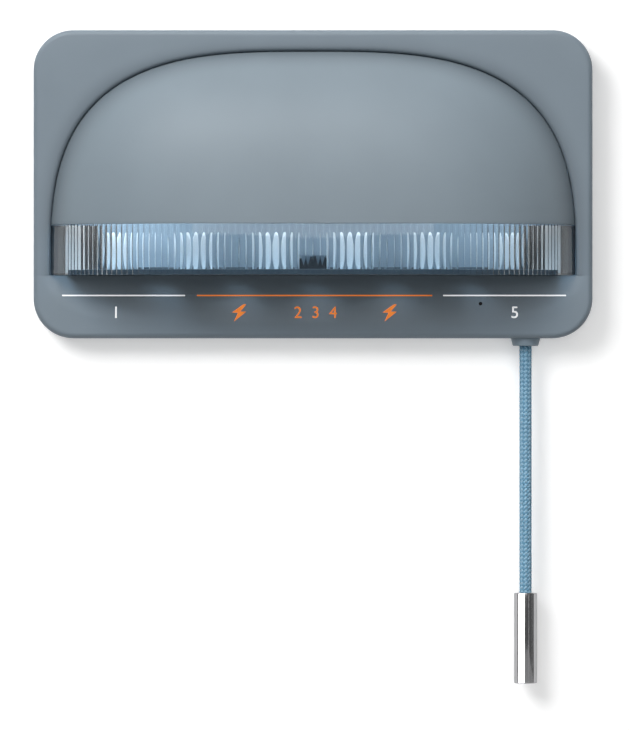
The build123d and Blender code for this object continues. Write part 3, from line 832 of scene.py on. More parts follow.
@dataclass(frozen=True)
class BodyForm:
    """Sizes and curves of the body, the arch and the dome."""

    half_width: float
    half_height: float
    front_y: float
    split_y: float
    corner_radius: float = 15.3 * MM
    edge_round: float = 2.0 * MM
    arch_side_margin: float = 6.7 * MM
    arch_top_margin: float = 8.4 * MM
    lower_front_height: float = 24.0 * MM
    arch_power: float = 3.1
    arch_gap: float = 0.3 * MM
    dome_depth: float = 31.0 * MM
    dome_power: float = 2.6
    dome_fullness: float = 0.6
    window_height: float = 19.5 * MM
    scoop_depth: float = 2.0 * MM
    scoop_height: float = 18.0 * MM
    scoop_side_margin: float = 3.0 * MM
    scoop_side_power: float = 9.0
    scoop_fall_power: float = 1.3
    scoop_round_power: float = 1.15

    @property
    def arch_half_width(self) -> float:
        """Half the arch's width at its foot."""
        return self.half_width - self.arch_side_margin

    @property
    def base_z(self) -> float:
        """The height of the arch's foot."""
        return -self.half_height + self.lower_front_height

    @property
    def arch_height(self) -> float:
        """The arch's height over its foot."""
        return self.half_height - self.arch_top_margin - self.base_z

    @property
    def window_top_z(self) -> float:
        """The height where the window ends and the cover starts."""
        return self.base_z + self.window_height

    def arch_spot(self, share: float, offset: float = 0.0) -> Spot:
        """A place on the arch's outline.

        Args:
            share: 0 at the right foot, 0.5 at the top, 1 at the left foot.
            offset: how far the outline is moved outward.

        Returns:
            X and Z.
        """
        c = math.cos(math.pi * share)
        s = math.sin(math.pi * share)
        x = math.copysign(abs(c) ** (2 / self.arch_power), c) * (self.arch_half_width + offset)
        rise = max(s, 0.0) ** (2 / self.arch_power) * (self.arch_height + offset)
        return (x, self.base_z + rise)

    def dome_rise(self, x: float, z: float) -> float:
        """How far the dome stands out of the front at a place.

        Args:
            x: the place's X.
            z: the place's Z.

        Returns:
            The rise, which is zero at the dome's foot.
        """
        u = abs(x) / self.arch_half_width
        v = abs(z - self.base_z) / self.arch_height
        size = (u**self.arch_power + v**self.arch_power) ** (1 / self.arch_power)
        fall = size**self.dome_power
        return self.dome_depth * (1 - fall) * (1 + self.dome_fullness * fall)

    def dome_inward(self, x: float, z: float) -> Point:
        """The direction into the dome's wall at a place, one metre long.

        Args:
            x: the place's X.
            z: the place's Z.

        Returns:
            X, Y and Z of the direction.
        """
        step = 0.01 * MM
        slope_x = (self.dome_rise(x + step, z) - self.dome_rise(x - step, z)) / (2 * step)
        slope_z = (self.dome_rise(x, z + step) - self.dome_rise(x, z - step)) / (2 * step)
        length = math.sqrt(slope_x**2 + 1 + slope_z**2)
        return (slope_x / length, 1 / length, slope_z / length)

    def dome_place(self, x: float, z: float, inset: float = 0.0) -> Point:
        """A point on the dome, moved into its wall by inset.

        Args:
            x: the place's X.
            z: the place's Z.
            inset: how far the point lies inside the wall.

        Returns:
            X, Y and Z of the point.
        """
        inward = self.dome_inward(x, z)
        y = self.front_y - self.dome_rise(x, z)
        return (x + inset * inward[0], y + inset * inward[1], z + inset * inward[2])

    def scoop(self, x: float, z: float) -> float:
        """How deep the lower front is hollowed at a place.

        Args:
            x: the place's X.
            z: the place's Z.

        Returns:
            The depth, which is zero outside the hollow.
        """
        fall = (self.base_z - z) / self.scoop_height
        if fall < 0 or fall > 1:
            return 0.0
        side = abs(x) / (self.half_width - self.scoop_side_margin)
        left = 1 - side**self.scoop_side_power - fall**self.scoop_fall_power
        return self.scoop_depth * max(0.0, left) ** self.scoop_round_power

    def front_place(self, x: float, z: float, proud: float = 0.0) -> Point:
        """A point on the lower front, raised by proud."""
        return (x, self.front_y + self.scoop(x, z) - proud, z)

    def half_width_at(self, z: float, inset: float) -> float:
        """Half the body's width at a height, with its outline moved in by inset.

        Args:
            z: the height.
            inset: how far the outline is moved in.

        Returns:
            The distance from the middle to the outline.
        """
        corner_z = self.half_height - self.corner_radius
        radius = self.corner_radius - inset
        over = min(max(abs(z) - corner_z, 0.0), radius)
        return self.half_width - self.corner_radius + math.sqrt(radius**2 - over**2)

    def outward(self, x: float, z: float) -> Spot:
        """Which way the body's outline faces near a place on it, as X and Z.

        Args:
            x: the place's X.
            z: the place's Z.

        Returns:
            X and Z of a direction one metre long.
        """
        corner_x = self.half_width - self.corner_radius
        corner_z = self.half_height - self.corner_radius
        dx = max(abs(x) - corner_x, 0.0)
        dz = max(abs(z) - corner_z, 0.0)
        if abs(z) > corner_z and abs(x) > corner_x:
            length = math.hypot(dx, dz)
            return (math.copysign(dx / length, x), math.copysign(dz / length, z))
        if self.half_height - abs(z) < self.half_width - abs(x):
            return (0.0, math.copysign(1.0, z))
        return (math.copysign(1.0, x), 0.0)


def body_form() -> BodyForm:
    """Reads the body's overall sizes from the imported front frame."""
    low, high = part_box("front_frame")
    return BodyForm(half_width=high.x, half_height=high.z, front_y=low.y, split_y=high.y)


# The studio


CHAMBER_AIM_Z = -26 * MM
WEIGHT_AIM: Point = (80 * MM, -10 * MM, -170 * MM)


@dataclass(frozen=True)
class SoftLamp:
    """One soft lamp of the studio."""

    name: str
    reach: Reach
    place: Point
    width: float
    height: float
    power: float
    aim: Point = (0.0, -20 * MM, 0.0)
    in_gloss: bool = True

    def hang(self, scope: bpy.types.Collection) -> None:
        """Hangs the lamp.

        Args:
            scope: the pieces that it lights, or leaves out.
        """
        lamp = bpy.data.lights.new(self.name, "AREA")
        lamp.shape = "RECTANGLE"
        lamp.size = self.width
        lamp.size_y = self.height
        lamp.energy = self.power
        hung = bpy.data.objects.new(self.name, lamp)
        hung.location = self.place
        look = Vector(self.aim) - Vector(self.place)
        hung.rotation_euler = look.to_track_quat("-Z", "Y").to_euler()
        hung.visible_glossy = self.in_gloss
        hung.light_linking.receiver_collection = scope
        bpy.context.scene.collection.objects.link(hung)


@dataclass(frozen=True)
class Studio:
    """The camera, the lamps, the wall and the floor."""

    lens: float = 400.0
    sensor: float = 36.0
    seen_height: float = 279.8 * MM
    sharp_y: float = -15.5 * MM
    aim_x: float = 0.57 * MM
    aim_z: float = -69.4 * MM
    wall_gap: float = 0.1 * MM
    wall_size: float = 6.0
    floor_z: float = -0.62
    clip_end: float = 50.0
    paper: Colour = (243, 243, 243)
    paper_bounce: Colour = (170, 170, 170)
    paper_glow: float = 0.29
    room_front: float = 0.045
    room_back: float = 0.30
    room_gloss: float = 0.16
    room_turn: float = 0.3
    lamps: tuple[SoftLamp, ...] = (
        SoftLamp("key_high", Reach.OBJECT, (-0.374, -0.86, 0.919), 0.7, 0.7, 11.0),
        SoftLamp("top_soft", Reach.OBJECT, (0.0, -0.856, 0.996), 0.8, 0.8, 2.6),
        SoftLamp("front_soft", Reach.OBJECT, (0.0, -1.524, 0.547), 1.0, 1.0, 6.0),
        SoftLamp(
            "chamber_middle", Reach.OBJECT, (0.0, -0.039, -0.006), 0.104, 0.006, 0.017,
            (0.0, -0.028, CHAMBER_AIM_Z),
        ),
        SoftLamp(
            "chamber_left", Reach.OBJECT, (-0.068, -0.029, -0.006), 0.028, 0.006, 0.010,
            (-0.068, -0.018, CHAMBER_AIM_Z),
        ),
        SoftLamp(
            "chamber_right", Reach.OBJECT, (0.068, -0.029, -0.006), 0.028, 0.006, 0.006,
            (0.068, -0.018, CHAMBER_AIM_Z),
        ),
        SoftLamp("behind_soft", Reach.OBJECT, (-0.7, 1.4, 0.7), 1.2, 1.2, 13.0),
        SoftLamp("wall_key", Reach.STAGE, (-0.52, -0.86, 0.50), 0.62, 0.62, 11.5),
        SoftLamp("wall_fill", Reach.STAGE, (0.25, -1.9, 0.15), 1.5, 1.5, 15.0, in_gloss=False),
        SoftLamp("screen", Reach.WEIGHT, (-0.60, -0.72, -0.17), 1.25, 0.7, 26.0, WEIGHT_AIM),
        SoftLamp("strip_near", Reach.WEIGHT, (0.62, -0.88, -0.17), 0.03, 0.6, 0.10, WEIGHT_AIM),
        SoftLamp("strip_far", Reach.WEIGHT, (1.02, -0.37, -0.17), 0.03, 0.6, 0.06, WEIGHT_AIM),
    )

    def place_camera(self) -> None:
        """Sets the long-lens camera square on to the wall."""
        lens = bpy.data.cameras.new("camera")
        lens.lens = self.lens
        lens.sensor_width = self.sensor
        lens.clip_end = self.clip_end
        distance = self.seen_height * self.lens / self.sensor
        camera = bpy.data.objects.new("camera", lens)
        camera.location = (self.aim_x, self.sharp_y - distance, self.aim_z)
        camera.rotation_euler = (math.radians(90), 0, 0)
        bpy.context.scene.collection.objects.link(camera)
        bpy.context.scene.camera = camera

    def paper_material(self, name: str) -> bpy.types.Material:
        """White paper that keeps shadows and is clear from behind.

        Args:
            name: the material's name.

        Returns:
            The material, which bounces less light on to the object than it shows.
        """
        sheet = ShaderSheet(name)
        path = sheet.add("ShaderNodeLightPath").outputs
        seen = sheet.sum("MAXIMUM", path["Is Camera Ray"], path["Is Glossy Ray"])
        seen = sheet.sum("MAXIMUM", seen, path["Is Transmission Ray"])
        sheet.set(Base_Color=sheet.mix(seen, self.paper_bounce, self.paper))
        sheet.set(Roughness=0.9, Specular_IOR_Level=0.0, Emission_Color=(1, 1, 1, 1))
        sheet.set(Emission_Strength=sheet.sum("MULTIPLY", seen, self.paper_glow))
        clear = sheet.add("ShaderNodeBsdfTransparent").outputs["BSDF"]
        sheet.swap(sheet.add("ShaderNodeNewGeometry").outputs["Backfacing"], clear)
        return sheet.material

    def hang_wall(self) -> list[bpy.types.Object]:
        """Builds the wall behind the sterilizer and the floor far below it.

        Returns:
            The two pieces, which let light past them on to the object's back.
        """
        half = self.wall_size / 2
        y = self.wall_gap
        z = self.floor_z
        front = y - self.wall_size
        wall = [(-half, y, z), (half, y, z), (half, y, half), (-half, y, half)]
        floor = [(-half, front, z), (half, front, z), (half, y, z), (-half, y, z)]
        paper = self.paper_material("studio_paper")
        pieces = []
        for name, corners, outward in (("wall", wall, (0, -1, 0)), ("floor", floor, (0, 0, 1))):
            sketch = Sketch()
            sketch.face(corners)
            piece = sketch.piece(name, outward)
            coat_in(piece, paper)
            piece.visible_shadow = False
            pieces.append(piece)
        return pieces

    def scope(self, reach: Reach, pieces: Sequence[bpy.types.Object]) -> bpy.types.Collection:
        """The pieces that a lamp reaches.

        Args:
            reach: what it lights.
            pieces: the wall and the floor, or the weight.

        Returns:
            Their collection, where the wall and the floor are left out of the object's lamps.
        """
        collection = bpy.data.collections.new(f"lit_{reach.value}")
        for piece in pieces:
            collection.objects.link(piece)
        if reach is Reach.OBJECT:
            for entry in collection.collection_objects:
                entry.light_linking.link_state = "EXCLUDE"
        return collection

    def light_room(self) -> None:
        """Lights the room a little, more from behind the wall than from the front."""
        world = bpy.data.worlds.new("room")
        bpy.context.scene.world = world
        world.use_nodes = True
        sheet = NodeSheet(world.node_tree)
        sheet.tree.nodes.clear()
        way = sheet.add("ShaderNodeTexCoord").outputs["Generated"]
        back = sheet.add("ShaderNodeSeparateXYZ", {"Vector": way}).outputs["Y"]
        path = sheet.add("ShaderNodeLightPath").outputs
        levels = {"From Min": 0.0, "From Max": self.room_turn}
        levels |= {"To Min": self.room_front, "To Max": self.room_back}
        strength = sheet.add("ShaderNodeMapRange", {"Value": back, **levels}).outputs["Result"]
        for ray, value in (("Is Glossy Ray", self.room_gloss), ("Is Camera Ray", 1.0)):
            swap = sheet.add("ShaderNodeMix", {"Factor": path[ray], 2: strength, 3: value})
            strength = swap.outputs["Result"]
        ground = sheet.add("ShaderNodeBackground", {"Color": (1, 1, 1, 1), "Strength": strength})
        sheet.add("ShaderNodeOutputWorld", {"Surface": ground.outputs["Background"]})

    def build(self, weight: bpy.types.Object) -> None:
        """Sets up the whole studio.

        Args:
            weight: the piece of polished metal, which has its own screens.
        """
        bpy.context.scene.view_settings.view_transform = "Standard"
        stage = self.hang_wall()
        self.light_room()
        scopes = {
            Reach.OBJECT: self.scope(Reach.OBJECT, stage),
            Reach.STAGE: self.scope(Reach.STAGE, stage),
            Reach.WEIGHT: self.scope(Reach.WEIGHT, [weight]),
        }
        for lamp in self.lamps:
            lamp.hang(scopes[lamp.reach])
        LOG.info("studio set")


# The pull cord, its weight and its gland


@dataclass(frozen=True)
class PullCord:
    """The braided cord that works the switch, with its gland and weight."""

    x: float
    y: float
    mouth_z: float
    weight_top_z: float
    weight_low_z: float
    weight_radius: float
    cord_radius: float = 2.5 * MM
    bore_depth: float = 8.0 * MM
    strands: int = 8
    strand_radius: float = 0.62 * MM
    strand_pitch: float = 13.0 * MM
    weave_depth: float = 0.28 * MM
    strand_sides: int = 7
    core_sides: int = 24
    sample: float = 0.4 * MM
    weight_edge: float = 0.4 * MM
    blend_length: float = 7.0 * MM
    gland_top_radius: float = 5.75 * MM
    gland_mouth_radius: float = 5.0 * MM
    gland_neck_radius: float = 4.3 * MM
    gland_flange_radius: float = 5.3 * MM
    gland_flange: float = 1.5 * MM
    gland_seat_z: float = -59.0 * MM
    gland_bore_radius: float = 3.15 * MM
    gland_edge: float = 0.45 * MM
    route_samples: int = 12
    route_order: int = 3

    def route(self) -> list[Point]:
        """The cord's route, from the gland's mouth down into the weight."""
        low_z = self.weight_top_z - self.bore_depth
        return [(self.x, self.y, z) for z in spread(self.mouth_z, low_z, 2)]

    def route_mesh(self) -> bpy.types.Mesh:
        """Points along the smooth line of the route.

        Returns:
            The points, joined by edges.
        """
        curve = bpy.data.curves.new("cord_route", "CURVE")
        curve.dimensions = "3D"
        curve.resolution_u = self.route_samples
        spline = curve.splines.new("NURBS")
        points = self.route()
        spline.points.add(len(points) - 1)
        for made, place in zip(spline.points, points):
            made.co = (*place, 1)
        spline.order_u = self.route_order
        spline.use_endpoint_u = True
        carrier = bpy.data.objects.new("cord_route", curve)
        bpy.context.scene.collection.objects.link(carrier)
        mesh = bpy.data.meshes.new_from_object(carrier)
        bpy.data.objects.remove(carrier)
        return mesh

    def braid(self, piece: bpy.types.Object, material: bpy.types.Material) -> None:
        """Lays strands both ways round a line, over and under each other.

        Args:
            piece: the line.
            material: the strands' finish.
        """
        sizes = {
            "Strands": self.strands,
            "Lay radius": self.cord_radius - self.strand_radius - self.weave_depth,
            "Strand radius": self.strand_radius,
            "Pitch": self.strand_pitch,
            "Weave depth": self.weave_depth,
            "Sample": self.sample,
        }
        tree = ShapeTree("braid", sizes)
        given = tree.given
        line = tree.add("GeometryNodeMeshToCurve", {"Mesh": given["Geometry"]}).outputs["Curve"]
        inputs = {"Curve": line, "Length": given["Sample"]}
        fine = tree.add("GeometryNodeResampleCurve", inputs, mode="LENGTH").outputs["Curve"]
        inputs = {"Geometry": fine, "Amount": given["Strands"]}
        copies = tree.add("GeometryNodeDuplicateElements", inputs, domain="SPLINE")
        along = tree.add("GeometryNodeSplineParameter").outputs["Length"]
        normal = tree.add("GeometryNodeInputNormal").outputs["Normal"]
        tangent = tree.add("GeometryNodeInputTangent").outputs["Tangent"]
        across = tree.vector("CROSS_PRODUCT", tangent, normal)
        turn = tree.sum("DIVIDE", tree.sum("MULTIPLY", along, 2 * math.pi), given["Pitch"])
        step = tree.sum("DIVIDE", 2 * math.pi, given["Strands"])
        phase = tree.sum("MULTIPLY", copies.outputs["Duplicate Index"], step)
        wave = tree.sum("COSINE", tree.sum("MULTIPLY", turn, given["Strands"]))
        wave = tree.sum("MULTIPLY", wave, given["Weave depth"])
        joined = tree.add("GeometryNodeJoinGeometry")
        for lay in Lay:
            angle = tree.sum("ADD", tree.sum("MULTIPLY", turn, float(lay.value)), phase)
            reach = tree.sum("ADD", given["Lay radius"], tree.sum("MULTIPLY", wave, float(lay.value)))
            parts = [
                tree.vector("SCALE", way, scale=tree.sum("MULTIPLY", tree.sum(kind, angle), reach))
                for kind, way in (("COSINE", normal), ("SINE", across))
            ]
            inputs = {"Geometry": copies.outputs["Geometry"], "Offset": tree.vector("ADD", *parts)}
            moved = tree.add("GeometryNodeSetPosition", inputs).outputs["Geometry"]
            strand = tree.tube(moved, given["Strand radius"], self.strand_sides)
            inputs = {"Geometry": strand, "Name": "strand_tone", "Value": 0.5 + 0.5 * lay.value}
            tone = tree.add("GeometryNodeStoreNamedAttribute", inputs, data_type="FLOAT")
            tree.fill(joined.inputs["Geometry"], tone.outputs["Geometry"])
        half_weave = tree.sum("MULTIPLY", given["Weave depth"], 0.5)
        core_radius = tree.sum("SUBTRACT", given["Lay radius"], half_weave)
        tree.fill(joined.inputs["Geometry"], tree.tube(fine, core_radius, self.core_sides))
        tree.finish(joined.outputs["Geometry"], material)
        tree.shape(piece)

    def build_cord(self) -> None:
        thread = BraidedThread("cord_thread", (112, 166, 198), (164, 210, 236), (228, 242, 250)).make()
        route = self.route_mesh()
        piece = link_piece("braided_cord", route)
        coat_in(piece, thread)
        self.braid(piece, thread)
        smooth_below(piece, 60)
        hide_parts("pull_cord")
        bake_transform(piece)
        LOG.info("braided_cord: %d strands", 2 * self.strands)

    def build_weight(self) -> bpy.types.Object:
        """Turns the metal weight on the cord's end.

        Returns:
            The piece.
        """
        r = self.weight_radius
        e = self.weight_edge
        top = self.weight_top_z
        low = self.weight_low_z
        bore = self.cord_radius
        turn = spread(0, math.pi / 2, 5)
        profile = [(r - e * (1 - math.sin(a)), top - e * (1 - math.cos(a))) for a in turn]
        profile += [(r - e * (1 - math.cos(a)), low + e * (1 - math.sin(a))) for a in turn]
        profile += [(0, low), (0, top - self.bore_depth), (bore, top - self.bore_depth), (bore, top - e / 2)]
        profile += [(bore + e / 2, top)]
        piece = turned("weight", profile, (self.x, self.y), steps=128)
        smooth_below(piece, 35)
        chrome = PlainMetal(
            "weight_chrome",
            (172, 172, 174),
            roughness=0.09,
            drawn=(1, 1, 0.05),
            scratch_depth=0.0004 * MM,
            edge=0.6,
        )
        coat_in(piece, chrome.make())
        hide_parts("pull_weight")
        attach(piece, "hanging_cord")
        LOG.info("weight turned")
        return piece

    def build_gland(self) -> None:
        """Turns the tapered gland that the cord comes out of."""
        top = self.gland_seat_z
        body = MouldedPlastic("gland_satin", (150, 168, 181), roughness=0.42).make()
        low = self.mouth_z
        e = self.gland_edge
        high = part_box("cord_gland")[1].z
        wall = high - self.gland_flange
        taper = (self.gland_top_radius - self.gland_mouth_radius) / (top - low)
        profile = [(self.gland_bore_radius, low + e), (self.gland_bore_radius + e, low)]
        profile += [(self.gland_mouth_radius - e, low)]
        profile += [
            (self.gland_mouth_radius - e + e * math.sin(a), low + e * (1 - math.cos(a)))
            for a in spread(0.3, math.pi / 2, 4)
        ]
        profile += [(self.gland_top_radius - taper * e, top - e / 3), (self.gland_top_radius - e / 3, top)]
        profile += [(self.gland_neck_radius, top), (self.gland_neck_radius, wall)]
        profile += [(self.gland_flange_radius, wall), (self.gland_flange_radius, high)]
        profile += [(self.gland_bore_radius, high)]
        piece = turned("gland", profile, (self.x, self.y))
        smooth_below(piece, 35)
        coat_in(piece, body)
        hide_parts("cord_gland")
        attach(piece, "unit")
        LOG.info("gland turned")

    def build(self) -> bpy.types.Object:
        """Builds the cord and the pieces at its ends.

        Returns:
            The weight.
        """
        weight = self.build_weight()
        self.build_cord()
        self.build_gland()
        return weight


def pull_cord() -> PullCord:
    """Reads the cord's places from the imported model.

    Returns:
        The cord, ready to build.
    """
    low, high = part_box("pull_weight")
    mouth_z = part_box("cord_gland")[0].z
    return PullCord(
        x=(low.x + high.x) / 2,
        y=(low.y + high.y) / 2,
        mouth_z=mouth_z,
        weight_top_z=high.z,
        weight_low_z=low.z,
        weight_radius=(high.x - low.x) / 2,
    )


# The body's front shell


@dataclass(frozen=True)
class FrontShell:
    """The body's front, with its arched opening and its scooped lower front."""

    form: BodyForm
    wall: float = 1.6 * MM
    lip_back_y: float = -13.0 * MM
    lip_round: float = 1.6 * MM
    seam_round: float = 0.35 * MM
    arch_steps: int = 220
    band_steps: int = 5
    base_steps: int = 150
    round_steps: int = 7
    lower_steps: int = 10
    corner_steps: int = 20

    def outline_spots(self, inset: float, count: int) -> list[Spot]:
        """Places on the outline from its right side over the top to its left side.

        Args:
            inset: how far the outline is moved in.
            count: how many gaps lie between the places.

        Returns:
            X and Z of each, starting and ending level with the arch's foot.
        """
        f = self.form
        corner_x = f.half_width - f.corner_radius
        corner_z = f.half_height - f.corner_radius
        radius = f.corner_radius - inset
        side = corner_z - f.base_z
        quarter = radius * math.pi / 2
        total = 2 * side + 2 * quarter + 2 * corner_x
        spots = []
        for walked in spread(0, total, count):
            back = min(walked, total - walked)
            if back <= side:
                spot = (corner_x + radius, f.base_z + back)
            elif back <= side + quarter:
                angle = (back - side) / radius
                spot = (corner_x + radius * math.cos(angle), corner_z + radius * math.sin(angle))
            else:
                spot = (corner_x - (back - side - quarter), corner_z + radius)
            spots.append(spot if walked <= total / 2 else (-spot[0], spot[1]))
        return spots

    def lower_rows(self) -> list[float]:
        """Heights of the lower front's rows, closer together round the corners.

        Returns:
            The heights, the highest first.
        """
        f = self.form
        corner_z = -(f.half_height - f.corner_radius)
        radius = f.corner_radius - f.edge_round
        rows = spread(f.base_z, corner_z, self.lower_steps)[:-1]
        turns = spread(0, math.pi / 2, self.corner_steps)
        return rows + [corner_z - radius * math.sin(a) for a in turns]

    def lower_shares(self) -> list[float]:
        """Places across the lower front, from -1 at its left edge to 1 at its right.

        Returns:
            The places in order.
        """
        f = self.form
        wide = f.half_width - f.edge_round
        foot = (f.arch_half_width + f.arch_gap) / wide
        middle = spread(-foot, foot, self.base_steps)
        side = spread(foot, 1, self.band_steps)
        return [-s for s in reversed(side[1:])] + middle + side[1:]

    def draw(self) -> Sketch:
        """Draws the outer skin, from the seam round the front and into the opening.

        Returns:
            The skin's points and faces.
        """
        f = self.form
        sketch = Sketch()
        shares = [i / self.arch_steps for i in range(self.arch_steps + 1)]
        outer = self.outline_spots(f.edge_round, self.arch_steps)
        edge_offset = f.arch_gap + self.lip_round
        inner = [f.arch_spot(s, edge_offset) for s in shares]
        band = []
        for k in spread(0, 1, self.band_steps):
            spots = [(a[0] + (b[0] - a[0]) * k, a[1] + (b[1] - a[1]) * k) for a, b in zip(inner, outer)]
            band.append([(x, f.front_y, z) for x, z in spots])
        sketch.grid(band)
        lower = []
        across = self.lower_shares()
        for z in self.lower_rows():
            wide = f.half_width_at(z, f.edge_round)
            lower.append([f.front_place(u * wide, z) for u in across])
        sketch.grid(lower)
        rim = [(x, f.front_y, z) for x, z in outer]
        rim += [row[0] for row in lower[1:-1]] + lower[-1] + [row[-1] for row in reversed(lower[1:-1])]
        rings = []
        for angle in spread(0, math.pi / 2, self.round_steps):
            out = f.edge_round * math.sin(angle)
            back = f.edge_round * (1 - math.cos(angle))
            rings.append([self.moved_out(p, out, f.front_y + back) for p in rim])
        seam_start = f.split_y - self.seam_round
        for angle in spread(0, math.pi / 2, 4):
            out = f.edge_round - self.seam_round * (1 - math.cos(angle))
            y = seam_start + self.seam_round * math.sin(angle)
            rings.append([self.moved_out(p, out, y) for p in rim])
        sketch.grid(rings, closed=True)
        self.draw_lip(sketch, shares, lower[0])
        return sketch

    def moved_out(self, place: Point, out: float, y: float) -> Point:
        """A rim point moved outward across the outline and back to a depth."""
        way = self.form.outward(place[0], place[2])
        return (place[0] + way[0] * out, y, place[2] + way[1] * out)

    def draw_lip(self, sketch: Sketch, shares: list[float], top_row: list[Point]) -> None:
        """Draws the opening's edge, and the ledge along its foot.

        Args:
            sketch: the drawing to add to.
            shares: places along the arch.
            top_row: the lower front's top row.
        """
        f = self.form
        foot = f.arch_half_width + f.arch_gap
        foot_y = f.front_y + f.scoop(foot, f.base_z)
        rows = []
        for angle in spread(0, math.pi / 2, 4):
            offset = f.arch_gap + self.lip_round * (1 - math.sin(angle))
            y = f.front_y + self.lip_round * (1 - math.cos(angle))
            rows.append([(x, y, z) for x, z in (f.arch_spot(s, offset) for s in shares)])
        straight = [(x, 0.0, z) for x, _, z in rows[-1]]
        for y in (max(foot_y, f.front_y + self.lip_round), self.lip_back_y):
            rows.append([(x, y, z) for x, _, z in straight])
        sketch.grid(rows)
        base = [p for p in top_row if abs(p[0]) <= foot + WELD]
        sketch.grid([base, [(x, self.lip_back_y, z) for x, _, z in base]])
        for side in (0, -1):
            corner = [row[side] for row in rows[:-1]]
            sign = 1 if side == 0 else -1
            ledge = [p for p in top_row if p[0] * sign >= foot - WELD]
            ledge.sort(key=lambda p: abs(p[0]))
            starts = [(x, f.front_y, z) for x, _, z in self.band_start(side)]
            sketch.face(corner[::-1] + starts[1:] + ledge[::-1][1:])

    def band_start(self, side: int) -> list[Point]:
        """The upper front's points level with the arch's foot, from the arch outward.

        Args:
            side: 0 for the right side, -1 for the left.

        Returns:
            The points, the nearest to the arch first.
        """
        f = self.form
        start = f.arch_half_width + f.arch_gap + self.lip_round
        end = f.half_width - f.edge_round
        sign = 1 if side == 0 else -1
        return [(sign * x, f.front_y, f.base_z) for x in spread(start, end, self.band_steps)]

    def build(self, material: bpy.types.Material) -> None:
        """Builds the shell.

        Args:
            material: its finish.
        """
        piece = self.draw().piece("front_shell", outward=(0, -1, 0))
        thicken(piece, self.wall)
        settle(piece)
        smooth_below(piece, 32)
        coat_in(piece, material)
        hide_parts("front_frame")
        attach(piece, "unit")
        LOG.info("front_shell: %d faces", len(piece.data.polygons))


# The cover and the window


@dataclass(frozen=True)
class DomeCover:
    """The domed cover over the chamber."""

    form: BodyForm
    wall: float = 2.2 * MM
    skirt: float = 2.4 * MM
    gap: float = 0.08 * MM
    edge: float = 0.3 * MM
    round_steps: int = 200
    out_steps: int = 60

    def build(self, material: bpy.types.Material) -> None:
        """Builds the cover.

        Args:
            material: its finish.
        """
        f = self.form
        low_z = f.window_top_z + self.gap
        rise = (low_z - f.base_z) / f.arch_height
        start = math.asin(rise ** (f.arch_power / 2)) / math.pi
        spots = [f.arch_spot(s) for s in spread(start, 1 - start, self.round_steps)]
        spots[0] = (spots[0][0], low_z)
        spots[-1] = (spots[-1][0], low_z)
        sketch = Sketch()
        rows = []
        for k in spread(0, math.pi / 2, self.out_steps):
            share = math.sin(k)
            row = [(x * share, low_z + (z - low_z) * share) for x, z in spots]
            rows.append([f.dome_place(x, z) for x, z in row])
        rows.append([(x, f.front_y + self.skirt, z) for x, z in spots])
        sketch.grid(rows)
        piece = sketch.piece("cover", outward=(0, -1, 0))
        thicken(piece, self.wall)
        bevel = piece.modifiers.new("edges", "BEVEL")
        bevel.width = self.edge
        bevel.segments = 3
        bevel.limit_method = "ANGLE"
        bevel.angle_limit = math.radians(45)
        settle(piece)
        smooth_below(piece, 50)
        coat_in(piece, material)
        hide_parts("dome_cover")
        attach(piece, "unit")
        LOG.info("cover: %d faces", len(piece.data.polygons))


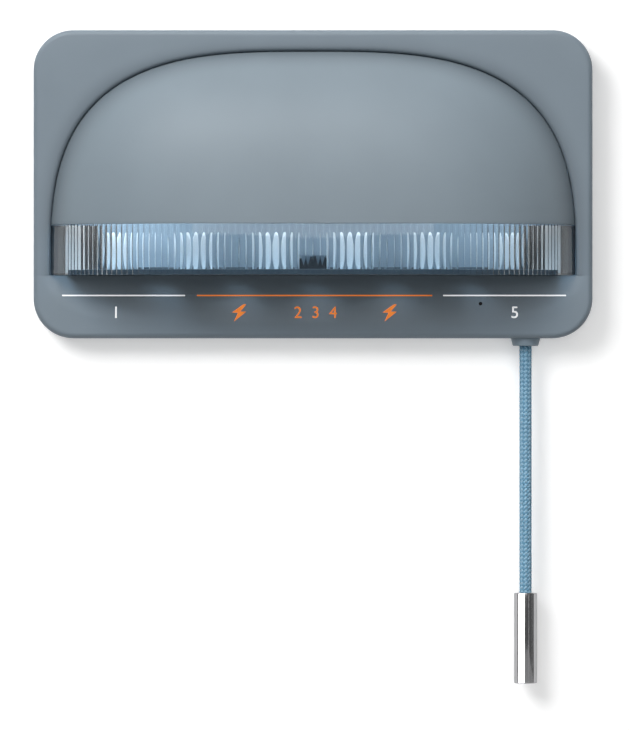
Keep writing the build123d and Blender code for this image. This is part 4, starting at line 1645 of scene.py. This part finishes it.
@dataclass(frozen=True)
class RibbedWindow:
    """The clear window with upright ribs on its inner face."""

    form: BodyForm
    wall: float = 2.2 * MM
    skirt: float = 2.4 * MM
    gap: float = 0.08 * MM
    rib_pitch: float = 2.57 * MM
    rib_height: float = 0.45 * MM
    rib_end_margin: float = 5.8 * MM
    rib_fade_power: float = 3.0
    rib_steps: int = 8
    end_steps: int = 16
    tall_steps: int = 6
    last_share: float = 0.98

    def rib_edges(self) -> list[float]:
        """Where the ribs start and end, closer together towards the sides.

        Returns:
            X of each edge, from left to right.
        """
        wide = self.form.arch_half_width
        edges = [0.0]
        while edges[-1] < wide - self.rib_end_margin:
            share = min(edges[-1] / wide, self.last_share)
            edges.append(edges[-1] + self.rib_pitch * math.sqrt(1 - share**self.rib_fade_power))
        return [-x for x in reversed(edges[1:])] + edges

    def columns(self) -> list[tuple[float, float, float]]:
        """Upright lines across the window.

        Returns:
            X, the place across its rib from -0.5 to 0.5, and the rib's share of full size.
        """
        edges = self.rib_edges()
        wide = self.form.arch_half_width
        made = [(x, 0.5, 0.0) for x in spread(-wide, edges[0], self.end_steps)[:-1]]
        for left, right in zip(edges[:-1], edges[1:]):
            for k in range(self.rib_steps):
                across = k / self.rib_steps
                made.append((left + (right - left) * across, across - 0.5, (right - left) / self.rib_pitch))
        made += [(x, 0.5, 0.0) for x in spread(edges[-1], wide, self.end_steps)]
        return made

    def swell_ribs(self, piece: bpy.types.Object, material: bpy.types.Material) -> None:
        """Swells the window's inner face into ribs.

        Args:
            piece: the window, whose points know their place across a rib.
            material: its finish.
        """
        tree = ShapeTree("window_ribs", {"Rib height": self.rib_height})
        across, share, inward = (
            tree.add("GeometryNodeInputNamedAttribute", {"Name": name}, data_type=kind).outputs["Attribute"]
            for name, kind in (("rib_place", "FLOAT"), ("rib_share", "FLOAT"), ("inward", "FLOAT_VECTOR"))
        )
        crest = tree.sum("MULTIPLY_ADD", tree.sum("MULTIPLY", across, across), -4, 1)
        height = tree.sum("MULTIPLY", tree.sum("MULTIPLY", crest, share), tree.given["Rib height"])
        inputs = {"Geometry": tree.given["Geometry"], "Offset": tree.vector("SCALE", inward, scale=height)}
        moved = tree.add("GeometryNodeSetPosition", inputs)
        tree.finish(moved.outputs["Geometry"], material)
        tree.shape(piece)

    def build(self) -> None:
        """Builds the window."""
        f = self.form
        clear = ClearPlastic("window_clear", (226, 236, 242), (214, 228, 238)).make()
        levels = spread(f.base_z + self.gap, f.window_top_z - self.gap, self.tall_steps)
        columns = self.columns()
        back_y = f.front_y + self.skirt
        sketch = Sketch()
        ribs: dict[int, tuple[float, float, Point]] = {}
        rows = []
        for z in levels:
            outer = [f.dome_place(x, z) for x, _, _ in columns]
            inner = [(*f.dome_place(x, z, self.wall)[:2], z) for x, _, _ in columns]
            ends = [(outer[-1][0], back_y, z), (inner[-1][0], back_y, z)]
            starts = [(inner[0][0], back_y, z), (outer[0][0], back_y, z)]
            rows.append(outer + ends + inner[::-1] + starts)
            for place, (x, across, share) in zip(inner, columns):
                way = f.dome_inward(x, z)
                ribs[sketch.point(place)] = (across, share, (way[0], way[1], 0.0))
        sketch.grid(rows, closed=True)
        for row in (rows[0], rows[-1]):
            count = len(columns)
            outer, inner = row[:count], row[count + 2 : 2 * count + 2][::-1]
            sketch.grid([outer, inner])
            sketch.face([outer[-1], row[count], row[count + 1], inner[-1]])
            sketch.face([inner[0], row[-2], row[-1], outer[0]])
        piece = sketch.piece("window")
        place = piece.data.attributes.new("rib_place", "FLOAT", "POINT")
        share = piece.data.attributes.new("rib_share", "FLOAT", "POINT")
        inward = piece.data.attributes.new("inward", "FLOAT_VECTOR", "POINT")
        for number, (across, size, way) in ribs.items():
            place.data[number].value = across
            share.data[number].value = size
            inward.data[number].vector = way
        coat_in(piece, clear)
        self.swell_ribs(piece, clear)
        smooth_below(piece, 30)
        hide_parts("ribbed_window")
        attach(piece, "unit")
        LOG.info("window: %d ribs", len(self.rib_edges()) - 1)


# Printing on the lower front


@dataclass(frozen=True)
class FrontPrint:
    """Lines, bolts and slot numbers printed on the lower front."""

    form: BodyForm
    line_z: float = -42.6 * MM
    line_height: float = 0.5 * MM
    white_lines: tuple[Spot, ...] = ((-96.0 * MM, -49.0 * MM), (49.8 * MM, 96.8 * MM))
    orange_line: Spot = (-44.4 * MM, 45.6 * MM)
    bolt_spots: tuple[Spot, ...] = ((-28.3 * MM, -49.3 * MM), (29.3 * MM, -49.3 * MM))
    bolt_height: float = 6.6 * MM
    figure_z: float = -49.3 * MM
    figure_size: float = 6.4 * MM
    proud: float = 0.05 * MM
    line_steps: int = 24
    figures_shown: tuple[tuple[str, str, float, Ink], ...] = (
        ("figure_left", "1", -75.4 * MM, Ink.WHITE),
        ("figure_middle", "2  3  4", 1.0 * MM, Ink.ORANGE),
        ("figure_right", "5", 77.2 * MM, Ink.WHITE),
    )

    def coat(self, sketch: Sketch, outline: Sequence[Spot]) -> None:
        """Draws one flat printed shape as a thin closed coat.

        Args:
            sketch: the drawing to add to.
            outline: its corners as X and Z.
        """
        f = self.form
        top = [f.front_place(x, z, self.proud) for x, z in outline]
        base = [f.front_place(x, z, -self.proud) for x, z in outline]
        sketch.face(top)
        sketch.face(base)
        sketch.grid([top, base], closed=True)

    def line(self, sketch: Sketch, start: float, end: float) -> None:
        """Draws one printed line.

        Args:
            sketch: the drawing to add to.
            start: its left end.
            end: its right end.
        """
        f = self.form
        half = self.line_height / 2
        rows = []
        for x in spread(start, end, self.line_steps):
            ring = [(self.line_z + half, self.proud), (self.line_z - half, self.proud)]
            ring += [(self.line_z - half, -self.proud), (self.line_z + half, -self.proud)]
            rows.append([f.front_place(x, z, p) for z, p in ring])
        sketch.grid(rows, closed=True)
        sketch.face(rows[0])
        sketch.face(rows[-1])

    def bolt(self, sketch: Sketch, spot: Spot) -> None:
        """Draws a plain zigzag bolt.

        Args:
            sketch: the drawing to add to.
            spot: its middle.
        """
        shape = [(0.25, 0.5), (-0.42, 0.02), (-0.06, 0.02), (-0.3, -0.5)]
        shape += [(0.42, 0.08), (0.06, 0.08), (0.42, 0.5)]
        size = self.bolt_height
        self.coat(sketch, [(spot[0] + x * size, spot[1] + z * size) for x, z in shape])

    def figures(self, name: str, text: str, x: float, ink: bpy.types.Material) -> None:
        """Prints plain slot numbers.

        Args:
            name: the piece's name.
            text: the numbers.
            x: their middle.
            ink: their finish.
        """
        letters = bpy.data.curves.new(name, "FONT")
        letters.body = text
        letters.size = self.figure_size
        letters.align_x = "CENTER"
        letters.align_y = "CENTER"
        letters.extrude = self.proud
        carrier = bpy.data.objects.new(name, letters)
        bpy.context.scene.collection.objects.link(carrier)
        mesh = bpy.data.meshes.new_from_object(carrier)
        bpy.data.objects.remove(carrier)
        drawn = bmesh.new()
        drawn.from_mesh(mesh)
        bmesh.ops.remove_doubles(drawn, verts=drawn.verts, dist=WELD)
        for vertex in drawn.verts:
            u, v, w = vertex.co
            vertex.co = self.form.front_place(x + u, self.figure_z + v, w)
        bmesh.ops.recalc_face_normals(drawn, faces=drawn.faces)
        drawn.to_mesh(mesh)
        drawn.free()
        self.place(link_piece(name, mesh), ink)

    def place(self, piece: bpy.types.Object, ink: bpy.types.Material) -> None:
        """Inks a printed piece and fixes it to the body.

        Args:
            piece: the printed piece.
            ink: its material.
        """
        coat_in(piece, ink)
        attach(piece, "unit")
        LOG.info("printed %s", piece.name)

    def build(self) -> None:
        """Prints everything on the lower front."""
        inks = {
            Ink.WHITE: PrintedInk("ink_white", (252, 252, 252)).make(),
            Ink.ORANGE: PrintedInk("ink_orange", (238, 128, 40)).make(),
        }
        white = Sketch()
        for start, end in self.white_lines:
            self.line(white, start, end)
        self.place(white.piece("white_lines"), inks[Ink.WHITE])
        orange = Sketch()
        self.line(orange, *self.orange_line)
        for spot in self.bolt_spots:
            self.bolt(orange, spot)
        self.place(orange.piece("orange_marks"), inks[Ink.ORANGE])
        for name, text, x, ink in self.figures_shown:
            self.figures(name, text, x, inks[ink])


# Small parts that show


@dataclass(frozen=True)
class IndicatorLens:
    """The dark lens of the charge light, in the lower front."""

    form: BodyForm
    x: float
    z: float
    back_y: float
    radius: float = 0.75 * MM
    stem_radius: float = 1.55 * MM
    proud: float = 0.12 * MM
    edge: float = 0.15 * MM
    stem_depth: float = 1.8 * MM

    def build(self) -> None:
        """Builds the lens."""
        front = self.form.front_place(self.x, self.z, self.proud)[1]
        shoulder = self.form.front_place(self.x, self.z)[1] + self.stem_depth
        profile = [(0.0, front), (self.radius - self.edge, front), (self.radius, front + self.edge)]
        profile += [(self.radius, shoulder), (self.stem_radius, shoulder), (self.stem_radius, self.back_y)]
        profile += [(0.0, self.back_y)]
        lens = turned("indicator_lens", profile, (self.x, self.z), steps=48, forward=True)
        smooth_below(lens, 35)
        coat_in(lens, MouldedPlastic("light_pipe", (10, 11, 13), roughness=0.15).make())
        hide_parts("indicator_light_pipe")
        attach(lens, "unit")
        LOG.info("indicator lens turned")


def indicator_lens(form: BodyForm) -> IndicatorLens:
    """Reads the charge light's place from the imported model."""
    low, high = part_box("indicator_light_pipe")
    return IndicatorLens(form, x=(low.x + high.x) / 2, z=(low.z + high.z) / 2, back_y=high.y)


def points_piece(name: str, places: Sequence[Point]) -> bpy.types.Object:
    """A piece of loose points, for nodes to set things on.

    Args:
        name: the piece's name.
        places: the points.

    Returns:
        The new piece.
    """
    mesh = bpy.data.meshes.new(name)
    mesh.from_pydata(list(places), [], [])
    return link_piece(name, mesh)


@dataclass(frozen=True)
class ReturnSpring:
    """The coil that pushes the cord's carrier back up; closed_share, its length at a full pull over its free
    length, is not used.
    """

    x: float
    y: float
    low_z: float
    high_z: float
    reach: float
    wire: float = 0.6 * MM
    turns: float = 5.5
    closed_share: float = 0.43
    turn_steps: int = 40
    wire_sides: int = 12

    def build(self) -> None:
        """Builds the spring."""
        steel = PlainMetal("spring_steel", (170, 170, 172), roughness=0.3).make()
        piece = points_piece("coil_spring", [(self.x, self.y, self.low_z + self.wire / 2)])
        sizes = {
            "Coil radius": self.reach - self.wire / 2,
            "Wire radius": self.wire / 2,
            "Height": self.high_z - self.low_z - self.wire,
            "Turns": self.turns,
        }
        tree = ShapeTree("spring_coil", sizes)
        given = tree.given
        inputs = {"Resolution": self.turn_steps, "Rotations": given["Turns"], "Height": given["Height"]}
        inputs |= {"Start Radius": given["Coil radius"], "End Radius": given["Coil radius"]}
        coil = tree.add("GeometryNodeCurveSpiral", inputs).outputs["Curve"]
        tree.finish(tree.on_points(tree.tube(coil, given["Wire radius"], self.wire_sides)), steel)
        tree.shape(piece)
        smooth_below(piece, 60)
        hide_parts("return_spring")
        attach(piece, "unit")
        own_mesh(piece)
        LOG.info("coil_spring wound")


def return_spring() -> ReturnSpring:
    """Reads the spring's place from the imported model.

    Returns:
        The spring, ready to build.
    """
    low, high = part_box("return_spring")
    middle = (low + high) / 2
    return ReturnSpring(middle.x, middle.y, low.z, high.z, (high.x - low.x) / 2)


@dataclass(frozen=True)
class HousingScrews:
    """The pan-head screws that hold the rear housing."""

    head_radius: float = 2.4 * MM
    head_height: float = 1.5 * MM
    shank_radius: float = 1.3 * MM
    recess_reach: float = 1.35 * MM
    recess_width: float = 0.5 * MM
    recess_depth: float = 0.8 * MM
    recess_taper: float = 0.75
    crown: float = 0.35 * MM
    crown_power: int = 3
    tip: float = 0.8 * MM
    rings: int = 18
    sides: int = 64

    def spots(self) -> tuple[list[Point], float]:
        """Where each head's middle is, and how far its screw reaches.

        Returns:
            The heads' middles and the length from head to tip.
        """
        drawn = bmesh.new()
        drawn.from_mesh(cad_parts["housing_screws"].data)
        bmesh.ops.remove_doubles(drawn, verts=drawn.verts, dist=WELD)
        left = set(drawn.verts)
        places = []
        length = 0.0
        while left:
            island = {left.pop()}
            edge = list(island)
            while edge:
                for link in edge.pop().link_edges:
                    for vertex in link.verts:
                        if vertex in left:
                            left.remove(vertex)
                            island.add(vertex)
                            edge.append(vertex)
            x = [v.co.x for v in island]
            y = [v.co.y for v in island]
            z = [v.co.z for v in island]
            places.append(((min(x) + max(x)) / 2, max(y), (min(z) + max(z)) / 2))
            length = max(length, max(y) - min(y))
        drawn.free()
        return sorted(places), length

    def recess(self, x: float, z: float) -> float:
        """How deep the cross recess is at a place on the head.

        Args:
            x: how far the place is to the side of the screw's axis.
            z: how far it is above the axis.

        Returns:
            The depth, which is zero outside the recess.
        """
        reach = math.hypot(x, z)
        if min(abs(x), abs(z)) > self.recess_width / 2 or reach > self.recess_reach:
            return 0.0
        return self.recess_depth * (1 - self.recess_taper * reach / self.recess_reach)

    def screw(self, length: float) -> bpy.types.Object:
        """Draws one screw, with its head at the origin and its shank toward the front.

        Args:
            length: from the head's top to the tip.

        Returns:
            The piece that is set on each spot.
        """
        sketch = Sketch()
        rows = []
        for ring in spread(0.0, 1.0, self.rings):
            fall = self.crown * ring**self.crown_power
            spots = circle(self.head_radius * ring, self.sides)
            rows.append([(x, -fall - self.recess(x, z), z) for x, z in spots])
        for radius, y in (
            (self.head_radius, -self.head_height),
            (self.shank_radius, -self.head_height),
            (self.shank_radius, -length + self.tip),
            (0.0, -length),
        ):
            rows.append([(x, y, z) for x, z in circle(radius, self.sides)])
        sketch.grid(rows, closed=True)
        return sketch.piece("one_screw")

    def build(self) -> None:
        """Sets a screw on each spot."""
        zinc = PlainMetal("screw_zinc_bright", (176, 177, 180), roughness=0.3).make()
        places, length = self.spots()
        pattern = self.screw(length)
        piece = points_piece("rear_screws", places)
        tree = ShapeTree("screw_set", {"Size": 1.0})
        source = tree.add("GeometryNodeObjectInfo", {"Object": pattern}).outputs["Geometry"]
        sized = tree.add("GeometryNodeTransform", {"Geometry": source, "Scale": tree.given["Size"]})
        tree.finish(tree.on_points(sized.outputs["Geometry"]), zinc)
        tree.shape(piece)
        bpy.data.objects.remove(pattern)
        smooth_below(piece, 28)
        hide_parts("housing_screws")
        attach(piece, "unit")
        LOG.info("rear_screws: %d screws", len(places))


@dataclass(frozen=True)
class RackEnd:
    """A block at each end of the rack, drawn for both ends at once."""

    name: str
    colour: Colour
    near_x: float
    far_x: float
    front_y: float
    back_y: float = -13.0 * MM
    low_z: float = -34.6 * MM
    high_z: float = -15.9 * MM
    edge: float = 0.6 * MM

    def build(self) -> None:
        """Builds both blocks as one piece."""
        sketch = Sketch()
        for side in (-1, 1):
            rows = []
            for inset, y in ((self.edge, self.front_y), (0.0, self.front_y + self.edge), (0.0, self.back_y)):
                low, high = self.near_x + inset, self.far_x - inset
                floor, top = self.low_z + inset, self.high_z - inset
                corners = [(low, floor), (high, floor), (high, top), (low, top)]
                rows.append([(side * x, y, z) for x, z in corners])
            sketch.grid(rows, closed=True)
            sketch.face(rows[0])
            sketch.face(rows[-1])
        piece = sketch.piece(self.name)
        coat_in(piece, MouldedPlastic(self.name, self.colour).make())
        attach(piece, "unit")
        LOG.info("%s built", self.name)


@dataclass(frozen=True)
class SensorShade:
    """The dark comb in front of the sensor, seen through the window's ribs."""

    low: Vector
    high: Vector
    tall_share: float = 0.8
    root_share: float = 0.25
    tooth_steps: tuple[float, ...] = (0.02, 0.42, 0.58, 0.98)
    heights: tuple[float, ...] = (0.72, 0.95, 0.84, 0.9, 1.0, 0.8)

    def build(self) -> None:
        """Builds the comb."""
        sketch = Sketch()
        wide = (self.high.x - self.low.x) / len(self.heights)
        tall = (self.high.z - self.low.z) * self.tall_share
        outline = [(self.high.x, self.low.z), (self.low.x, self.low.z)]
        for k, height in enumerate(self.heights):
            start = self.low.x + k * wide
            levels = (self.root_share, height, height, self.root_share)
            for step, level in zip(self.tooth_steps, levels):
                outline.append((start + step * wide, self.low.z + tall * level))
        front = [(x, self.low.y, z) for x, z in outline]
        back = [(x, self.high.y, z) for x, z in outline]
        sketch.grid([front, back], closed=True)
        sketch.face(front)
        sketch.face(back)
        piece = sketch.piece("sensor_shade")
        coat_in(piece, MouldedPlastic("sensor_shade", (34, 44, 52), roughness=0.3).make())
        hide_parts("sensor_window")
        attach(piece, "unit")
        LOG.info("sensor shade with %d teeth", len(self.heights))


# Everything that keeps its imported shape


def dress_inner_works() -> None:
    """Gives the carried-over nodes their finishes."""
    rack = RackPlastic(
        "rack_plastic", (70, 84, 94), (140, 160, 176), (222, 234, 242), floor_z=-32.9 * MM, back_y=-14.7 * MM
    )
    plate = PlainMetal("plate_steel", (176, 178, 181), roughness=0.35, drawn=(0.05, 1, 1))
    for names, finish in (
        (["rear_housing"], MouldedPlastic("rear_satin", (122, 136, 147))),
        (["housing_gasket"], SoftRubber("seal_rubber", (46, 51, 54))),
        (["brush_rack"], rack),
        (["chamber_liner"], MouldedPlastic("liner_blue_grey", (140, 160, 176), roughness=0.3)),
        (["slot_lips"], SoftRubber("lip_rubber", (84, 98, 108))),
        (["presence_sensor"], MouldedPlastic("sensor_body", (120, 138, 152), roughness=0.3)),
        (["uv_lamp_board"], MouldedPlastic("lamp_board", (210, 214, 216), roughness=0.4)),
        (["uv_lamps"], MouldedPlastic("lamp_package", (232, 232, 220), roughness=0.25)),
        (["main_circuit_board"], MouldedPlastic("circuit_board", (24, 84, 54), roughness=0.35)),
        (["board_components", "micro_switch"], MouldedPlastic("component_dark", (34, 34, 37))),
        (["battery"], PlainMetal("battery_foil", (190, 192, 196), roughness=0.4)),
        (["battery_tape", "adhesive_pad"], SoftRubber("adhesive_foam", (222, 224, 226))),
        (["battery_leads"], SoftRubber("wire_red", (176, 32, 26), roughness=0.5)),
        (["lamp_leads"], SoftRubber("wire_white", (216, 216, 214), roughness=0.5)),
        (["charging_socket"], PlainMetal("socket_plated", (196, 198, 200), roughness=0.25)),
        (["port_flap"], SoftRubber("flap_rubber", (104, 118, 129))),
        (["cord_knot"], SoftRubber("knot_thread", (108, 158, 190))),
        (["switch_slider"], MouldedPlastic("slider_white", (228, 228, 224))),
        (["switch_plunger"], MouldedPlastic("plunger_red", (190, 44, 30))),
        (["wall_plate"], plate),
        (["chamber_screws", "board_screws"], PlainMetal("screw_zinc", (168, 169, 172), roughness=0.3)),
    ):
        dress(names, finish.make())


def main() -> None:
    """Builds the sterilizer's looks, piece by piece."""
    logging.basicConfig(level=logging.INFO, format="%(name)s: %(message)s")
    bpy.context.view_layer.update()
    form = body_form()
    studio = Studio()
    studio.place_camera()
    studio.build(pull_cord().build())
    # painted shade on the body and the cover along the seam where they meet
    crease_shade = CreaseShade(form.arch_half_width, form.base_z, form.arch_height, form.arch_power)
    FrontShell(form).build(MouldedPlastic("body_satin", (133, 147, 158), crease_shade=crease_shade).make())
    cover = MouldedPlastic("cover_satin", (140, 154, 164), roughness=0.54, crease_shade=crease_shade)
    DomeCover(form).build(cover.make())
    RibbedWindow(form).build()
    FrontPrint(form).build()
    indicator_lens(form).build()
    RackEnd("rack_end_pale", (232, 226, 222), 86.2 * MM, 94.0 * MM, -19.0 * MM).build()
    RackEnd("rack_end_seal", (52, 60, 66), 94.2 * MM, 98.8 * MM, -15.6 * MM).build()
    RackEnd("rack_end_dark", (74, 70, 68), 79.6 * MM, 86.0 * MM, -17.0 * MM).build()
    SensorShade(*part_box("sensor_window")).build()
    return_spring().build()
    HousingScrews().build()
    dress_inner_works()


if __name__ == "__main__":
    main()
